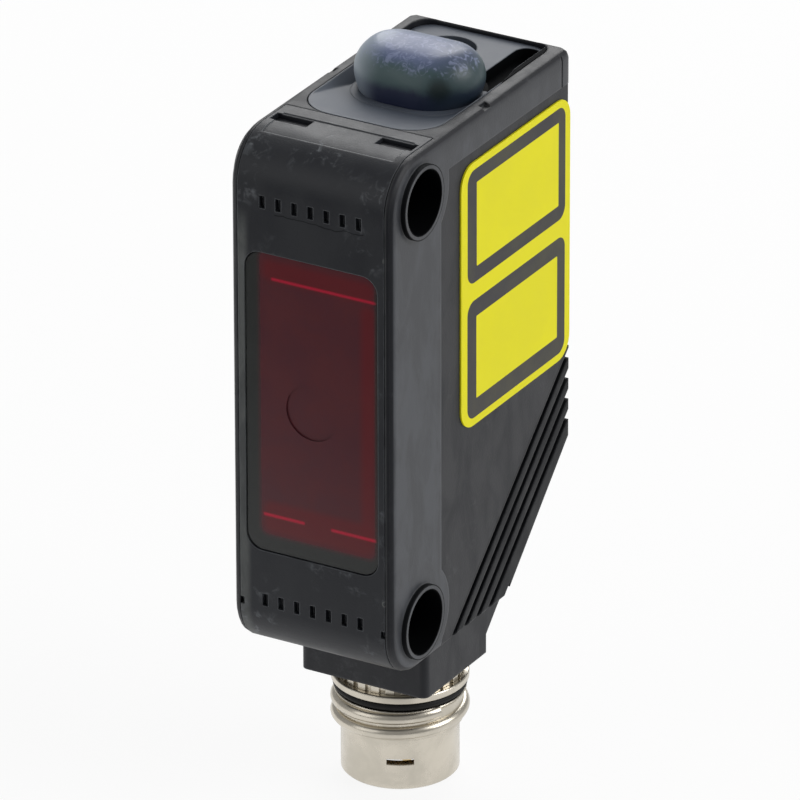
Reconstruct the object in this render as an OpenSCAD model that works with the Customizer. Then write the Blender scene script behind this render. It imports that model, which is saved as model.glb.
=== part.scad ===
// Compact laser photoelectric sensor with a round plug.
// Origin: midway between the two mounting holes, on the middle plane.
// X runs across the width, Y from the lens side to the back, Z up.

/* [Body] */
// Width across the two side walls
body_w = 10.2; // [9.9:0.1:11]
// Depth from the front face to the back
body_d = 20; // [19.6:0.1:21]
// Distance between the two mounting holes
hole_pitch = 25.4; // [25:0.1:27]
// From the mounting holes to the front face
hole_to_front = 3.1; // [3:0.1:3.4]
// From each mounting hole to the nearer end of the body
hole_to_end = 2.8; // [2.8:0.1:3.2]
// Bore of the mounting holes, for M3 screws
hole_d = 3.3; // [3.1:0.1:3.4]
// Bore of the wider mouth of each mounting hole
mouth_d = 3.7; // [3.5:0.1:3.8]
// Depth of that wider mouth
mouth_depth = 2; // [1:0.1:2.5]
// Diameter of the raised ring round each mounting hole
boss_d = 4.3; // [4:0.1:4.6]
// Height of that ring above the side wall
boss_h = 0.3; // [0.2:0.05:0.4]
// Outer diameter of the tube that each mounting hole runs in
tube_d = 4.2; // [3.9:0.1:4.3]
// Radius of the front corners, seen from the side
corner_r = 2.8; // [2.4:0.1:3]
// Radius of the top corner at the back, seen from the side
back_r = 0.6; // [0.4:0.1:1]
// Rounding of the edges between the side walls and the outline
edge_r = 0.5; // [0.3:0.05:0.6]
// Thickness of the side walls
side_wall = 1.2; // [1:0.1:1.2]
// Thickness of the top, bottom and back walls
end_wall = 1; // [0.8:0.1:1.2]

/* [Side panels] */
// How far the panels lie below the raised border of the side walls
panel_recess = 0.12; // [0.05:0.01:0.2]
// Width of the raised border along the front
border_front = 5.43; // [5.2:0.05:5.8]
// Width of the raised border along the top
border_top = 2.1; // [1.8:0.05:2.4]
// Radius of the border round each mounting hole
border_r = 3.2; // [3:0.05:3.4]
// From the back face to the fine parting groove in the border
parting_in = 1.1; // [0.9:0.05:1.4]
// Width of that parting groove
parting_w = 0.12; // [0.08:0.01:0.2]
// From the back face to the small notch in each top edge
rim_notch_in = 9.3; // [9:0.1:9.6]
// Length of that notch
rim_notch_l = 0.7; // [0.5:0.1:0.9]

/* [Finger grip] */
// Length of each leg of the 45 degree chamfer at the lower back
chamfer = 7.15; // [6.9:0.05:7.6]
// Number of grooves on each side
groove_count = 4; // [3:1:4]
// Height of the topmost groove above the chamfer, at the back face
groove_first = 5.12; // [4.9:0.01:5.2]
// Distance between grooves, measured up the back face
groove_pitch = 1.27; // [1.1:0.01:1.3]
// Width of a groove
groove_w = 0.46; // [0.3:0.02:0.5]
// Depth of a groove below the panel
groove_depth = 0.35; // [0.2:0.05:0.45]
// Slope of the grooves
groove_angle = 43; // [42:0.5:45]

/* [Plinth] */
// Width of the plinth and of the spine behind the grip
plinth_w = 8.1; // [7.6:0.1:8.2]
// From the front face to the plinth
plinth_in = 5.5; // [5.4:0.1:5.8]
// Depth of the plinth
plinth_d = 6.8; // [6.7:0.05:7.4]
// Height of the plinth below the body
plinth_h = 3.4; // [3.2:0.1:3.8]
// Height of the upright part of its back
plinth_back_h = 1.15; // [0.9:0.05:1.3]
// Radius of its front corners, seen from above
plinth_front_r = 0.45; // [0.3:0.05:0.8]

/* [Front cover and window] */
// Thickness of the front cover
cover_t = 0.6; // [0.5:0.05:0.65]
// How far the cover reaches back over the top and bottom
cover_return = 5.3; // [5.1:0.05:5.35]
// Gap all round the cover and the panes
seam = 0.05; // [0.03:0.01:0.08]
// From each side of the body to the window
window_border = 0.9; // [0.85:0.05:1.1]
// Height of the window
window_h = 18.1; // [17.5:0.1:18.4]
// Radius of the window's corners
window_r = 1; // [0.6:0.1:1.4]
// How far the pane's flange reaches past the window
window_lip = 0.35; // [0.2:0.05:0.35]
// Depth of the pane's front below the cover
pane_in = 0.1; // [0.05:0.05:0.2]
// Thickness of the pane's flange
pane_flange_t = 0.65; // [0.5:0.05:0.7]
// Thickness of the gasket behind the pane
gasket_t = 0.3; // [0.2:0.05:0.4]
// Number of small slots in each row on the cover
slot_count = 7; // [5:1:7]
// Distance between the small slots
slot_pitch = 1.01; // [0.9:0.01:1.1]
// Width of a small slot
slot_w = 0.35; // [0.25:0.05:0.45]
// Height of a small slot
slot_h = 0.75; // [0.5:0.05:0.9]
// Depth of a small slot
slot_depth = 0.4; // [0.2:0.05:0.45]
// From each mounting hole's height to the row of small slots, towards the middle
slot_row_in = 0.63; // [0.5:0.01:0.8]
// From each side of the body to the shallow cap panels at the ends of the cover
cap_border = 0.97; // [0.9:0.01:1.3]
// From each mounting hole's height to the cap panel's edge, towards the middle
cap_in = 1.12; // [1.05:0.01:1.3]
// Depth of the cap panels
cap_depth = 0.05; // [0.03:0.01:0.08]
// From each side of the body to the latch slots
latch_border = 0.65; // [0.6:0.05:0.8]
// Length of a latch slot across the cover
latch_l = 2.3; // [2:0.05:2.35]
// From the front face to the latch slots
latch_in = 3.25; // [3.2:0.05:3.4]
// Width of a latch slot
latch_w = 0.9; // [0.7:0.05:1]
// From the lower mounting hole's height to the small notches in the cover's sides
cover_notch_in = 0.3; // [0.2:0.05:0.4]
// Width of those notches
cover_notch_w = 0.25; // [0.15:0.05:0.3]
// Height of those notches
cover_notch_h = 0.45; // [0.3:0.05:0.6]

/* [Top panel] */
// From each side of the body to the top panel
panel_border = 0.9; // [0.86:0.02:1]
// From the front face to the top panel
panel_front_in = 5.4; // [5.4:0.05:5.6]
// From the back face to the top panel
panel_back_in = 0.35; // [0.3:0.05:0.5]
// Radius of its front corners
panel_front_r = 2.2; // [1.8:0.1:2.4]
// Radius of its back corners
panel_back_r = 1.3; // [1:0.1:1.5]
// Thickness of the panel behind the lens
panel_t = 1.05; // [0.95:0.05:1.1]
// Depth of the panel's level part below the top of the body
panel_drop = 0.35; // [0.3:0.05:0.5]
// Depth of the dish at the foot of the lens
dish_drop = 0.6; // [0.5:0.05:0.7]
// Width of the black channel at the right of the level part
channel_w = 1.6; // [1.3:0.05:1.65]
// Depth of the channel
channel_depth = 0.7; // [0.5:0.05:0.7]
// Width of the panel's raised edge, to the right of the channel
channel_in = 0.33; // [0.25:0.01:0.4]
// Thickness of the gasket under the panel
panel_gasket_t = 0.3; // [0.2:0.05:0.35]
// Width of that gasket
panel_gasket_w = 0.28; // [0.2:0.02:0.28]

/* [Indicator lens] */
// From each side of the top panel to the lens
lens_side = 0.9; // [0.9:0.02:1]
// Half depth of the lens
lens_half_d = 2.9; // [2.7:0.05:3]
// From the back face to the middle of the lens
lens_back_in = 8.1; // [8.05:0.05:8.2]
// Corner radius of the lens, seen from above
lens_corner_r = 2; // [1.6:0.1:2.4]
// Height of the lens above the foot of the dish
lens_h = 2.75; // [2.4:0.05:3]
// Height of the shallow crown on top of that
lens_crown = 0.12; // [0.05:0.01:0.2]
// Rounding of the lens towards its ends
lens_round_x = 0.7; // [0.5:0.05:1]
// Rounding of the lens towards its front and back
lens_round_y = 1.7; // [1.2:0.05:2]
// Wall of the lens
lens_wall = 0.7; // [0.5:0.05:0.8]
// How far the lens's flange reaches past the hole
lens_lip = 0.2; // [0.1:0.05:0.2]
// Thickness of that flange
lens_flange_t = 0.6; // [0.5:0.05:0.7]

/* [Set button] */
// From the left side of the top panel to the middle of the button
button_side = 3; // [2.9:0.02:3.2]
// From the back face to the middle of the button
button_in = 2.9; // [2.9:0.05:3]
// Diameter of the hole in the panel
button_hole_d = 3.3; // [3.1:0.05:3.3]
// Gap round the button in its hole
button_gap = 0.15; // [0.1:0.01:0.2]
// Depth of the button's face below the panel
button_drop = 0.3; // [0.2:0.05:0.4]
// Travel of the button
button_travel = 0.35; // [0.25:0.05:0.4]
// Thickness of the button's flange
button_flange_t = 0.4; // [0.3:0.05:0.5]
// How far that flange reaches past the hole
button_lip = 0.2; // [0.1:0.05:0.2]
// Thickness of the seal ring under the panel
button_seal_t = 0.55; // [0.4:0.05:0.6]
// Diameter of the button's stem
stem_d = 1.3; // [1.1:0.1:1.4]
// Length of the stem
stem_l = 0.75; // [0.7:0.05:0.8]
// Gap that is left between the pressed button and its switch
switch_gap = 0.1; // [0.05:0.05:0.1]

/* [Circuit boards] */
// Thickness of the circuit boards
board_t = 0.6; // [0.5:0.1:0.8]
// Gap between a board and the side walls
board_gap = 0.06; // [0.04:0.01:0.1]
// From the back face to the sensor board
sensor_board_in = 6.8; // [6.7:0.1:7]
// From the back face to the main board
main_board_in = 3.6; // [3.4:0.1:3.7]
// Height of the main board
main_board_h = 17.4; // [17:0.1:17.8]
// Side of the square push switch
switch_w = 3; // [2.8:0.1:3.2]
// Height of the push switch
switch_h = 1; // [0.9:0.05:1.1]
// Side of each indicator lamp
lamp_w = 1.2; // [0.8:0.1:1.4]
// Height of each indicator lamp
lamp_h = 0.7; // [0.5:0.1:0.9]
// Distance of each lamp from the middle plane
lamp_x = 1.5; // [1.3:0.1:1.7]
// Side of the processor chip
processor_w = 4; // [3:0.5:5]
// Thickness of the processor chip
processor_t = 0.8; // [0.6:0.1:1]
// Width of the header between the boards
header_w = 5; // [4:0.5:6]
// Height of that header
header_h = 1.6; // [1.2:0.1:2]
// Width of the flexible circuit from the plug
flex_w = 4.4; // [4:0.1:5]
// Thickness of that circuit
flex_t = 0.2; // [0.1:0.05:0.2]
// Reach of that circuit past the plug's axis before it rises
flex_reach = 2; // [1.9:0.1:2.2]
// Clearance of that circuit above the floor of the case
flex_lift = 0.2; // [0.1:0.05:0.3]

/* [Optics] */
// Height of the optic frame
frame_h = 18; // [17.6:0.1:18.2]
// Wall of the optic frame
frame_wall = 0.5; // [0.4:0.05:0.6]
// Thickness of the web that holds the laser barrel
web_t = 0.8; // [0.6:0.1:1]
// From the frame's front to that web
web_in = 4.6; // [4.4:0.1:5]
// Height of the receiver lens
rx_lens_h = 14.4; // [13.8:0.1:14.6]
// Thickness of the receiver lens at its middle
rx_lens_t = 2.4; // [2.2:0.1:2.8]
// Radius of the receiver lens's curved face
rx_lens_r = 22; // [20:0.5:26]
// Diameter of the laser barrel
barrel_d = 3.3; // [3.1:0.1:3.4]
// Length of the laser barrel
barrel_l = 6.6; // [6:0.1:7]
// Bore of the laser barrel
barrel_bore_d = 2.3; // [2.1:0.1:2.4]
// Gap round the barrel where it passes the lens
barrel_gap = 0.06; // [0.04:0.01:0.1]
// Thickness of the collimator lens
collimator_t = 1.1; // [0.9:0.1:1.4]
// Length of the ring that clamps it
retainer_l = 0.6; // [0.4:0.1:0.8]
// Opening of that ring
retainer_bore_d = 1.5; // [1.2:0.1:1.7]
// Diameter of the laser diode's base
diode_base_d = 3.2; // [3:0.1:3.3]
// Diameter of the laser diode's can
diode_can_d = 2.1; // [1.9:0.1:2.2]
// Length of the laser diode's can
diode_can_l = 1.6; // [1.4:0.1:1.8]
// Side of the receiver chip
chip_w = 2.6; // [2.2:0.1:2.8]
// Thickness of the receiver chip
chip_t = 0.6; // [0.5:0.1:0.7]
// How far the shield reaches past the receiver chip
shield_margin = 0.5; // [0.3:0.1:0.6]
// Clearance of the shield over the chip
shield_rise = 0.6; // [0.4:0.1:0.8]
// Thickness of the shield
shield_t = 0.15; // [0.1:0.05:0.2]

/* [Plug] */
// From the front face to the plug's axis
plug_in = 9.65; // [9.5:0.05:9.7]
// Diameter of the shank inside the plinth
shank_d = 4.7; // [4.6:0.05:4.75]
// Length of that shank
shank_l = 2.7; // [2.5:0.1:2.9]
// Diameter of the knurled collar
collar_d = 7.2; // [6.9:0.1:7.4]
// Height of the knurled collar
collar_h = 0.75; // [0.6:0.05:0.9]
// Number of teeth on the collar
collar_teeth = 16; // [12:1:20]
// Depth of the gaps between the teeth
tooth_depth = 0.3; // [0.2:0.05:0.4]
// Diameter of the plain ring under the collar
ring_d = 7.8; // [7.4:0.1:7.9]
// Height of the plain ring
ring_h = 0.45; // [0.3:0.05:0.6]
// Outer diameter of the M8 thread
thread_d = 8; // [7.9:0.05:8]
// Length of the thread
thread_l = 1.5; // [1.4:0.1:2]
// Height of the groove for the coupling ring
o_groove_h = 0.55; // [0.5:0.05:0.6]
// Diameter at the foot of that groove
o_groove_d = 5.9; // [5.8:0.1:6]
// Thickness of the coupling ring
o_ring_t = 0.5; // [0.4:0.02:0.5]
// Diameter of the smooth sleeve
sleeve_d = 6.7; // [6.5:0.1:6.8]
// Length of the smooth sleeve
sleeve_l = 3.55; // [3.4:0.05:3.8]
// Bore of the sleeve
sleeve_bore_d = 5.5; // [5.4:0.1:5.6]
// Bore of the shell behind the socket
insert_d = 3.8; // [3.75:0.01:3.85]
// Gap between the shell and its insert
insert_gap = 0.02; // [0.01:0.01:0.04]
// Height of the latch window in the sleeve
snap_h = 0.42; // [0.3:0.02:0.5]
// Width of that window
snap_w = 1.55; // [1.3:0.05:1.8]
// Height of that window above the sleeve's end
snap_up = 1.55; // [1.4:0.05:1.8]
// Depth of that window into the sleeve
snap_depth = 0.35; // [0.25:0.05:0.4]
// Direction of that window, from the front towards the right
snap_turn = 30; // [20:1:40]
// Diameter of a contact pin
pin_d = 1; // [0.9:0.05:1]
// Diameter of the circle that the pins stand on
pin_circle_d = 2.6; // [2.4:0.05:2.7]
// Depth of the pins' tips inside the sleeve
pin_in = 0.8; // [0.6:0.05:1]
// Thickness of the seal ring on the shank
seal_t = 0.4; // [0.3:0.02:0.4]

/* [Side label] */
// Thickness of the label
label_t = 0.1; // [0.05:0.01:0.12]
// From the front face to the label
label_in = 7.68; // [7.4:0.02:8]
// From the back face to the label
label_back_in = 0.1; // [0.05:0.01:0.3]
// From the raised top border to the label
label_top_in = 0.7; // [0.5:0.05:1]
// Height of the label
label_h = 15.9; // [15:0.1:16]
// Radius of the label's corners
label_r = 1.3; // [0.8:0.1:1.5]

/* [Hidden] */
eps = 0.01;
far = 60;
arc_steps = 8;

half_w = body_w / 2;
front_y = -hole_to_front;
back_y = front_y + body_d;
top_z = hole_pitch / 2 + hole_to_end;
bottom_z = -top_z;
hole_z = hole_pitch / 2;
cavity_half_w = half_w - side_wall;
cover_half_w = half_w - edge_r;
window_w = body_w - 2 * window_border;
cap_half_w = half_w - cap_border;
latch_x = half_w - latch_border - latch_l;

panel_x = half_w - panel_recess;
slope = sqrt(2) - 1;
grip_top_z = bottom_z + chamfer;

plinth_front_y = front_y + plinth_in;
plinth_back_y = plinth_front_y + plinth_d;
plinth_z = bottom_z - plinth_h;

pane_back_y = front_y + cover_t + seam + pane_flange_t;
pocket_back_y = pane_back_y + seam;
optics_y = pocket_back_y + gasket_t;

panel_half_w = half_w - panel_border;
floor_z = top_z - panel_drop;
panel_under_z = floor_z - panel_t;
panel_front_y = front_y + panel_front_in;
panel_rear_y = back_y - panel_back_in;
dish_z = top_z - dish_drop;
lens_half_w = panel_half_w - lens_side;
lens_y = back_y - lens_back_in;
lens_hole_gap = 0.05;
lens_flange_z = panel_under_z - lens_flange_t;

button_x = button_side - panel_half_w;
button_y = back_y - button_in;
button_r = button_hole_d / 2 - button_gap;
button_face_z = floor_z - button_drop;
button_flange_z = panel_under_z - button_seal_t - seam;
seal_d = button_hole_d + 2 * button_lip;
stem_z = button_flange_z - button_flange_t - stem_l;
switch_top_z = button_flange_z - button_flange_t - button_travel - switch_gap;
switch_well_z = stem_z - button_travel - switch_gap;
display_z = switch_top_z - switch_h;

board_half_w = cavity_half_w - board_gap;
sensor_board_y = back_y - sensor_board_in;
main_board_y = back_y - main_board_in;
main_board_z = display_z - board_t - 0.2 - main_board_h;

frame_half_w = board_half_w;
web_y = optics_y + web_in;
rx_lens_y = optics_y + 0.1;
barrel_y = optics_y + 0.05;
diode_y = barrel_y + barrel_l;

plug_y = front_y + plug_in;
collar_z = plinth_z - collar_h;
ring_z = collar_z - ring_h;
o_groove_z = ring_z - o_groove_h;
thread_z = o_groove_z - thread_l;
plug_end_z = thread_z - sleeve_l;
shank_top_z = plinth_z + shank_l;
socket_z = thread_z + 0.4;
pin_tip_z = plug_end_z + pin_in;
insert_top_z = shank_top_z + 0.4;
inner_slope_y = back_y - chamfer - end_wall * slope;
pin_top_z = bottom_z + end_wall + max(0, plug_y + flex_reach - inner_slope_y) + flex_lift;

function arc(c, r, from, to, steps = arc_steps) =
    [for (i = [0:steps]) c + r * [cos(from + (to - from) * i / steps), sin(from + (to - from) * i / steps)]];

// Side view of the body, moved inwards by inset, as points of depth and height
function body_outline(inset) = concat(
    arc([front_y + corner_r, bottom_z + corner_r], corner_r - inset, 180, 270),
    [
        [back_y - chamfer - inset * slope, bottom_z + inset],
        [back_y - inset, bottom_z + chamfer + inset * slope]
    ],
    arc([back_y - max(back_r, inset + 0.05), top_z - max(back_r, inset + 0.05)],
        max(back_r, inset + 0.05) - inset, 0, 90, 4),
    arc([front_y + corner_r, top_z - corner_r], corner_r - inset, 90, 180)
);

// Rectangle with its own corner radius at the low and the high end of its second side
function rounded_box(half, low, high, r_low, r_high) = concat(
    arc([-half + r_low, low + r_low], r_low, 180, 270),
    arc([half - r_low, low + r_low], r_low, 270, 360),
    arc([half - r_high, high - r_high], r_high, 0, 90),
    arc([-half + r_high, high - r_high], r_high, 90, 180)
);

// Extrudes a side view of depth and height across the width
module across(width) {
    rotate([90, 0, 90]) translate([0, 0, -width / 2]) linear_extrude(width) children();
}

// Extrudes a front view of width and height from one depth to another
module through(from_y, to_y) {
    translate([0, to_y, 0]) rotate([90, 0, 0]) linear_extrude(to_y - from_y) children();
}

module box(x0, x1, y0, y1, z0, z1) {
    translate([x0, y0, z0]) cube([x1 - x0, y1 - y0, z1 - z0]);
}

module upright(x, y, z0, z1, d) {
    translate([x, y, z0]) cylinder(h = z1 - z0, d = d, $fn = 48);
}

module along_hole(z, length, d) {
    translate([0, 0, z]) rotate([0, 90, 0]) cylinder(h = length, d = d, center = true, $fn = 48);
}

module along_beam(from_y, to_y, d) {
    translate([0, to_y, 0]) rotate([90, 0, 0]) cylinder(h = to_y - from_y, d = d, $fn = 48);
}

module body_solid() {
    hull() for (turn = [0, 35, 65, 90])
        across(2 * (half_w - edge_r * (1 - sin(turn)))) polygon(body_outline(edge_r * (1 - cos(turn))));
}

// Side view of the plinth and of the spine that carries it up the back
module spine_view() {
    polygon([
        [plinth_front_y, bottom_z + end_wall / 2],
        [plinth_front_y, plinth_z],
        [plinth_back_y, plinth_z],
        [plinth_back_y, plinth_z + plinth_back_h],
        [back_y, plinth_z + plinth_back_h + back_y - plinth_back_y],
        [back_y, grip_top_z],
        [back_y - chamfer, bottom_z + end_wall / 2]
    ]);
}

module spine() {
    intersection() {
        across(plinth_w) spine_view();
        translate([0, 0, plinth_z - 1]) linear_extrude(far) polygon(
            rounded_box(plinth_w / 2, plinth_front_y, back_y, plinth_front_r, edge_r));
    }
}

// Part of the side walls beside the grip grooves, whose edges are sharp
module grip_edges() {
    top = grip_top_z + groove_first + groove_w;
    reach = chamfer - edge_r;
    across(body_w) intersection() {
        polygon(body_outline(0));
        polygon([
            [back_y + 1, top + tan(groove_angle)],
            [back_y + 1, bottom_z - 1],
            [back_y - reach, bottom_z - 1],
            [back_y - reach, top - reach * tan(groove_angle)]
        ]);
    }
}

module side_panel_view() {
    difference() {
        translate([front_y + border_front, plinth_z])
            square([body_d, top_z - border_top - plinth_z]);
        for (side = [-1, 1]) translate([0, side * hole_z]) circle(r = border_r, $fn = 64);
    }
}

module side_panels() {
    for (side = [-1, 1]) translate([side * (panel_x + 0.5), 0, 0]) across(1) side_panel_view();
}

module parting_grooves() {
    for (side = [-1, 1])
        translate([side * half_w, back_y - parting_in, top_z - border_top / 2 - edge_r / 2])
            cube([2 * panel_recess, parting_w, border_top + edge_r], center = true);
}

module grip_grooves() {
    for (side = [-1, 1], i = [0:groove_count - 1])
        translate([side * (panel_x - groove_depth + 0.5), back_y, grip_top_z + groove_first - i * groove_pitch])
            rotate([groove_angle, 0, 0]) cube([1, far, groove_w], center = true);
}

module rim_notches() {
    for (side = [-1, 1])
        translate([side * (half_w - edge_r / 2), back_y - rim_notch_in, top_z])
            cube([edge_r, rim_notch_l, edge_r], center = true);
}

module cover_view(thickness, grow = 0) {
    intersection() {
        difference() {
            polygon(body_outline(-grow));
            polygon(body_outline(thickness));
        }
        translate([front_y - 1, bottom_z - 1]) square([cover_return + 1 + grow, far]);
    }
}

module cavity() {
    intersection() {
        across(2 * cavity_half_w) polygon(body_outline(end_wall));
        box(-far, far, pocket_back_y - eps, back_y, bottom_z, top_z);
    }
}

module window_pocket() {
    through(front_y + cover_t, pocket_back_y) square([2 * cover_half_w + 2 * seam, window_h + 2], center = true);
}

module top_pocket() {
    translate([0, 0, panel_under_z - seam]) linear_extrude(far) polygon(
        rounded_box(panel_half_w + seam, panel_front_y - seam, panel_rear_y + seam, panel_front_r, panel_back_r));
}

module latch_places(grow, z0, z1) {
    for (side = [-1, 1])
        translate([side * (latch_x + latch_l / 2), front_y + latch_in + latch_w / 2, (z0 + z1) / 2])
            cube([latch_l + grow, latch_w + grow, z1 - z0], center = true);
}

module housing() {
    color("#2c2e31") difference() {
        union() {
            body_solid();
            spine();
            grip_edges();
            for (side = [-1, 1]) along_hole(side * hole_z, body_w + 2 * boss_h, boss_d);
        }
        difference() {
            union() {
                across(2 * (cover_half_w + seam)) cover_view(cover_t + seam, seam);
                cavity();
                window_pocket();
                top_pocket();
            }
            for (side = [-1, 1]) along_hole(side * hole_z, body_w, tube_d);
            latch_places(-0.1, top_z - end_wall, top_z - cover_t / 2);
        }
        difference() {
            side_panels();
            for (side = [-1, 1]) along_hole(side * hole_z, body_w + 2 * boss_h, boss_d);
        }
        parting_grooves();
        grip_grooves();
        rim_notches();
        for (side = [-1, 1]) {
            along_hole(side * hole_z, body_w + 2, hole_d);
            for (end = [-1, 1]) translate([end * (half_w + boss_h - mouth_depth / 2 + 0.5), 0, 0])
                along_hole(side * hole_z, mouth_depth + 1, mouth_d);
        }
        upright(0, plug_y, plinth_z - 1, shank_top_z + seam, shank_d + 2 * insert_gap);
        upright(0, plug_y, plinth_z, pin_top_z, insert_d + 2 * seam);
    }
}

module front_cover() {
    color("#26282b") difference() {
        across(2 * cover_half_w) cover_view(cover_t);
        through(front_y - 1, front_y + cover_t + 1)
            polygon(rounded_box(window_w / 2, -window_h / 2, window_h / 2, window_r, window_r));
        for (side = [-1, 1], i = [0:slot_count - 1])
            translate([(i - (slot_count - 1) / 2) * slot_pitch, front_y, side * (hole_z - slot_row_in)])
                cube([slot_w, 2 * slot_depth, slot_h], center = true);
        latch_places(0, top_z - cover_t - 1, top_z + 1);
        for (side = [-1, 1]) translate([side * cover_half_w, front_y, cover_notch_in - hole_z])
            cube([2 * cover_notch_w, cover_t, cover_notch_h], center = true);
        intersection() {
            across(2 * cap_half_w) difference() {
                polygon(body_outline(-1));
                polygon(body_outline(cap_depth));
            }
            for (side = [-1, 1]) translate([0, 0, side * (hole_z - cap_in + far / 2)])
                cube([far, 2 * (cover_return + front_y) - 2, far], center = true);
        }
    }
}

module window() {
    color("#5c0b12") difference() {
        union() {
            through(front_y + pane_in, front_y + cover_t + seam + eps) polygon(
                rounded_box(window_w / 2 - seam, -window_h / 2 + seam, window_h / 2 - seam, window_r, window_r));
            through(front_y + cover_t + seam, pane_back_y) polygon(rounded_box(
                window_w / 2 + window_lip, -window_h / 2 - window_lip, window_h / 2 + window_lip, window_r, window_r));
        }
        along_beam(front_y, front_y + 2 * pane_in, barrel_d);
    }
}

module window_gasket() {
    color("#141414") through(pocket_back_y, optics_y) difference() {
        polygon(rounded_box(frame_half_w, -frame_h / 2, frame_h / 2, window_r, window_r));
        polygon(rounded_box(frame_half_w - frame_wall, -frame_h / 2 + frame_wall, frame_h / 2 - frame_wall, 0.5, 0.5));
    }
}

module optic_frame() {
    color("#1b1b1d") difference() {
        through(optics_y, sensor_board_y)
            square([2 * frame_half_w, frame_h], center = true);
        through(optics_y - 1, web_y) square([2 * (frame_half_w - frame_wall), frame_h - 2 * frame_wall], center = true);
        through(web_y + web_t, sensor_board_y + 1)
            square([2 * (frame_half_w - frame_wall), frame_h - 2 * frame_wall], center = true);
        along_beam(web_y - 1, web_y + web_t + 1, barrel_d);
        for (side = [-1, 1]) translate([0, web_y + web_t / 2, side * frame_h / 4])
            cube([2 * (frame_half_w - 2 * frame_wall), 2 * web_t, frame_h / 3.4], center = true);
    }
}

module receiver_lens() {
    lens_half = frame_half_w - frame_wall;
    color("#9c2b33") difference() {
        intersection() {
            box(-lens_half, lens_half, rx_lens_y, rx_lens_y + rx_lens_t, -rx_lens_h / 2, rx_lens_h / 2);
            translate([0, rx_lens_y + rx_lens_r, 0]) sphere(r = rx_lens_r, $fn = 96);
        }
        along_beam(rx_lens_y - 1, rx_lens_y + rx_lens_t + 1, barrel_d + 2 * barrel_gap);
    }
    color("#9c2b33") for (side = [-1, 1])
        box(-lens_half, lens_half, rx_lens_y + rx_lens_t - 0.7, rx_lens_y + rx_lens_t,
            side > 0 ? rx_lens_h / 2 - eps : -frame_h / 2 + frame_wall,
            side > 0 ? frame_h / 2 - frame_wall : -rx_lens_h / 2 + eps);
}

module laser_barrel() {
    color("#b08d57") difference() {
        along_beam(barrel_y, diode_y, barrel_d);
        along_beam(barrel_y - 1, barrel_y + retainer_l + collimator_t, barrel_bore_d);
        along_beam(barrel_y, diode_y - diode_can_l - 0.2, barrel_bore_d - 0.4);
        along_beam(diode_y - diode_can_l - 0.2 - eps, diode_y + 1, diode_can_d + 2 * barrel_gap);
    }
}

module collimator_lens() {
    mid_y = barrel_y + retainer_l + collimator_t / 2;
    color("#cfd8dc") intersection() {
        along_beam(mid_y - collimator_t / 2, mid_y + collimator_t / 2, barrel_bore_d);
        translate([0, mid_y + 2.6 - collimator_t / 2, 0]) sphere(r = 2.6, $fn = 64);
    }
}

module laser_retainer() {
    color("#8d6b3a") difference() {
        along_beam(barrel_y, barrel_y + retainer_l, barrel_bore_d);
        along_beam(barrel_y - 1, barrel_y + retainer_l + 1, retainer_bore_d);
    }
}

module laser_diode() {
    base_t = 0.5;
    lead_d = 0.3;
    color("#c9a24a") {
        along_beam(diode_y - diode_can_l, diode_y + eps, diode_can_d);
        along_beam(diode_y, diode_y + base_t, diode_base_d);
        for (turn = [0:120:240]) rotate([0, turn, 0]) translate([0, 0, diode_base_d / 4])
            along_beam(diode_y + base_t - eps, sensor_board_y, lead_d);
    }
}

module receiver_chip() {
    chip_z = frame_h / 4;
    color("#222a30") box(-chip_w / 2, chip_w / 2, sensor_board_y - chip_t, sensor_board_y,
                         chip_z - chip_w / 2, chip_z + chip_w / 2);
}

module receiver_shield() {
    shield_w = chip_w + 2 * shield_margin;
    shield_d = chip_t + shield_rise;
    chip_z = frame_h / 4;
    color("#b9bcc0") difference() {
        box(-shield_w / 2, shield_w / 2, sensor_board_y - shield_d, sensor_board_y,
            chip_z - shield_w / 2, chip_z + shield_w / 2);
        box(-shield_w / 2 + shield_t, shield_w / 2 - shield_t, sensor_board_y - shield_d + shield_t,
            sensor_board_y + 1, chip_z - shield_w / 2 + shield_t, chip_z + shield_w / 2 - shield_t);
        translate([0, 0, chip_z]) along_beam(sensor_board_y - shield_d - 1, sensor_board_y, chip_w * 0.7);
    }
}

module sensor_board() {
    color("#1f6b3a") difference() {
        box(-board_half_w, board_half_w, sensor_board_y, sensor_board_y + board_t, -frame_h / 2, frame_h / 2);
        for (turn = [0:120:240]) rotate([0, turn, 0]) translate([0, 0, diode_base_d / 4])
            along_beam(sensor_board_y - 1, sensor_board_y + board_t + 1, 0.5);
    }
}

module main_board() {
    color("#1f6b3a") box(-board_half_w, board_half_w, main_board_y, main_board_y + board_t,
                         main_board_z, main_board_z + main_board_h);
}

module processor_chip() {
    color("#16181a") box(-processor_w / 2, processor_w / 2, main_board_y - processor_t, main_board_y,
                         0, processor_w);
}

module board_header() {
    color("#e8e2cf") box(-header_w / 2, header_w / 2, sensor_board_y + board_t, main_board_y,
                         -2 * header_h, -header_h);
}

module display_board() {
    color("#1f6b3a") box(-board_half_w, board_half_w, panel_front_y + 1, back_y - end_wall - board_gap,
                         display_z - board_t, display_z);
}

module lamp(x, paint) {
    color(paint) box(x - lamp_w / 2, x + lamp_w / 2, lens_y - lamp_w / 2, lens_y + lamp_w / 2,
                     display_z, display_z + lamp_h);
}

module stability_lamp() {
    lamp(lamp_x, "#3fae5a");
}

module output_lamp() {
    lamp(-lamp_x, "#e8862b");
}

module lens_plan(grow) {
    translate([0, lens_y]) polygon(rounded_box(lens_half_w + grow, -lens_half_d - grow, lens_half_d + grow,
                                               lens_corner_r + grow, lens_corner_r + grow));
}

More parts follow.
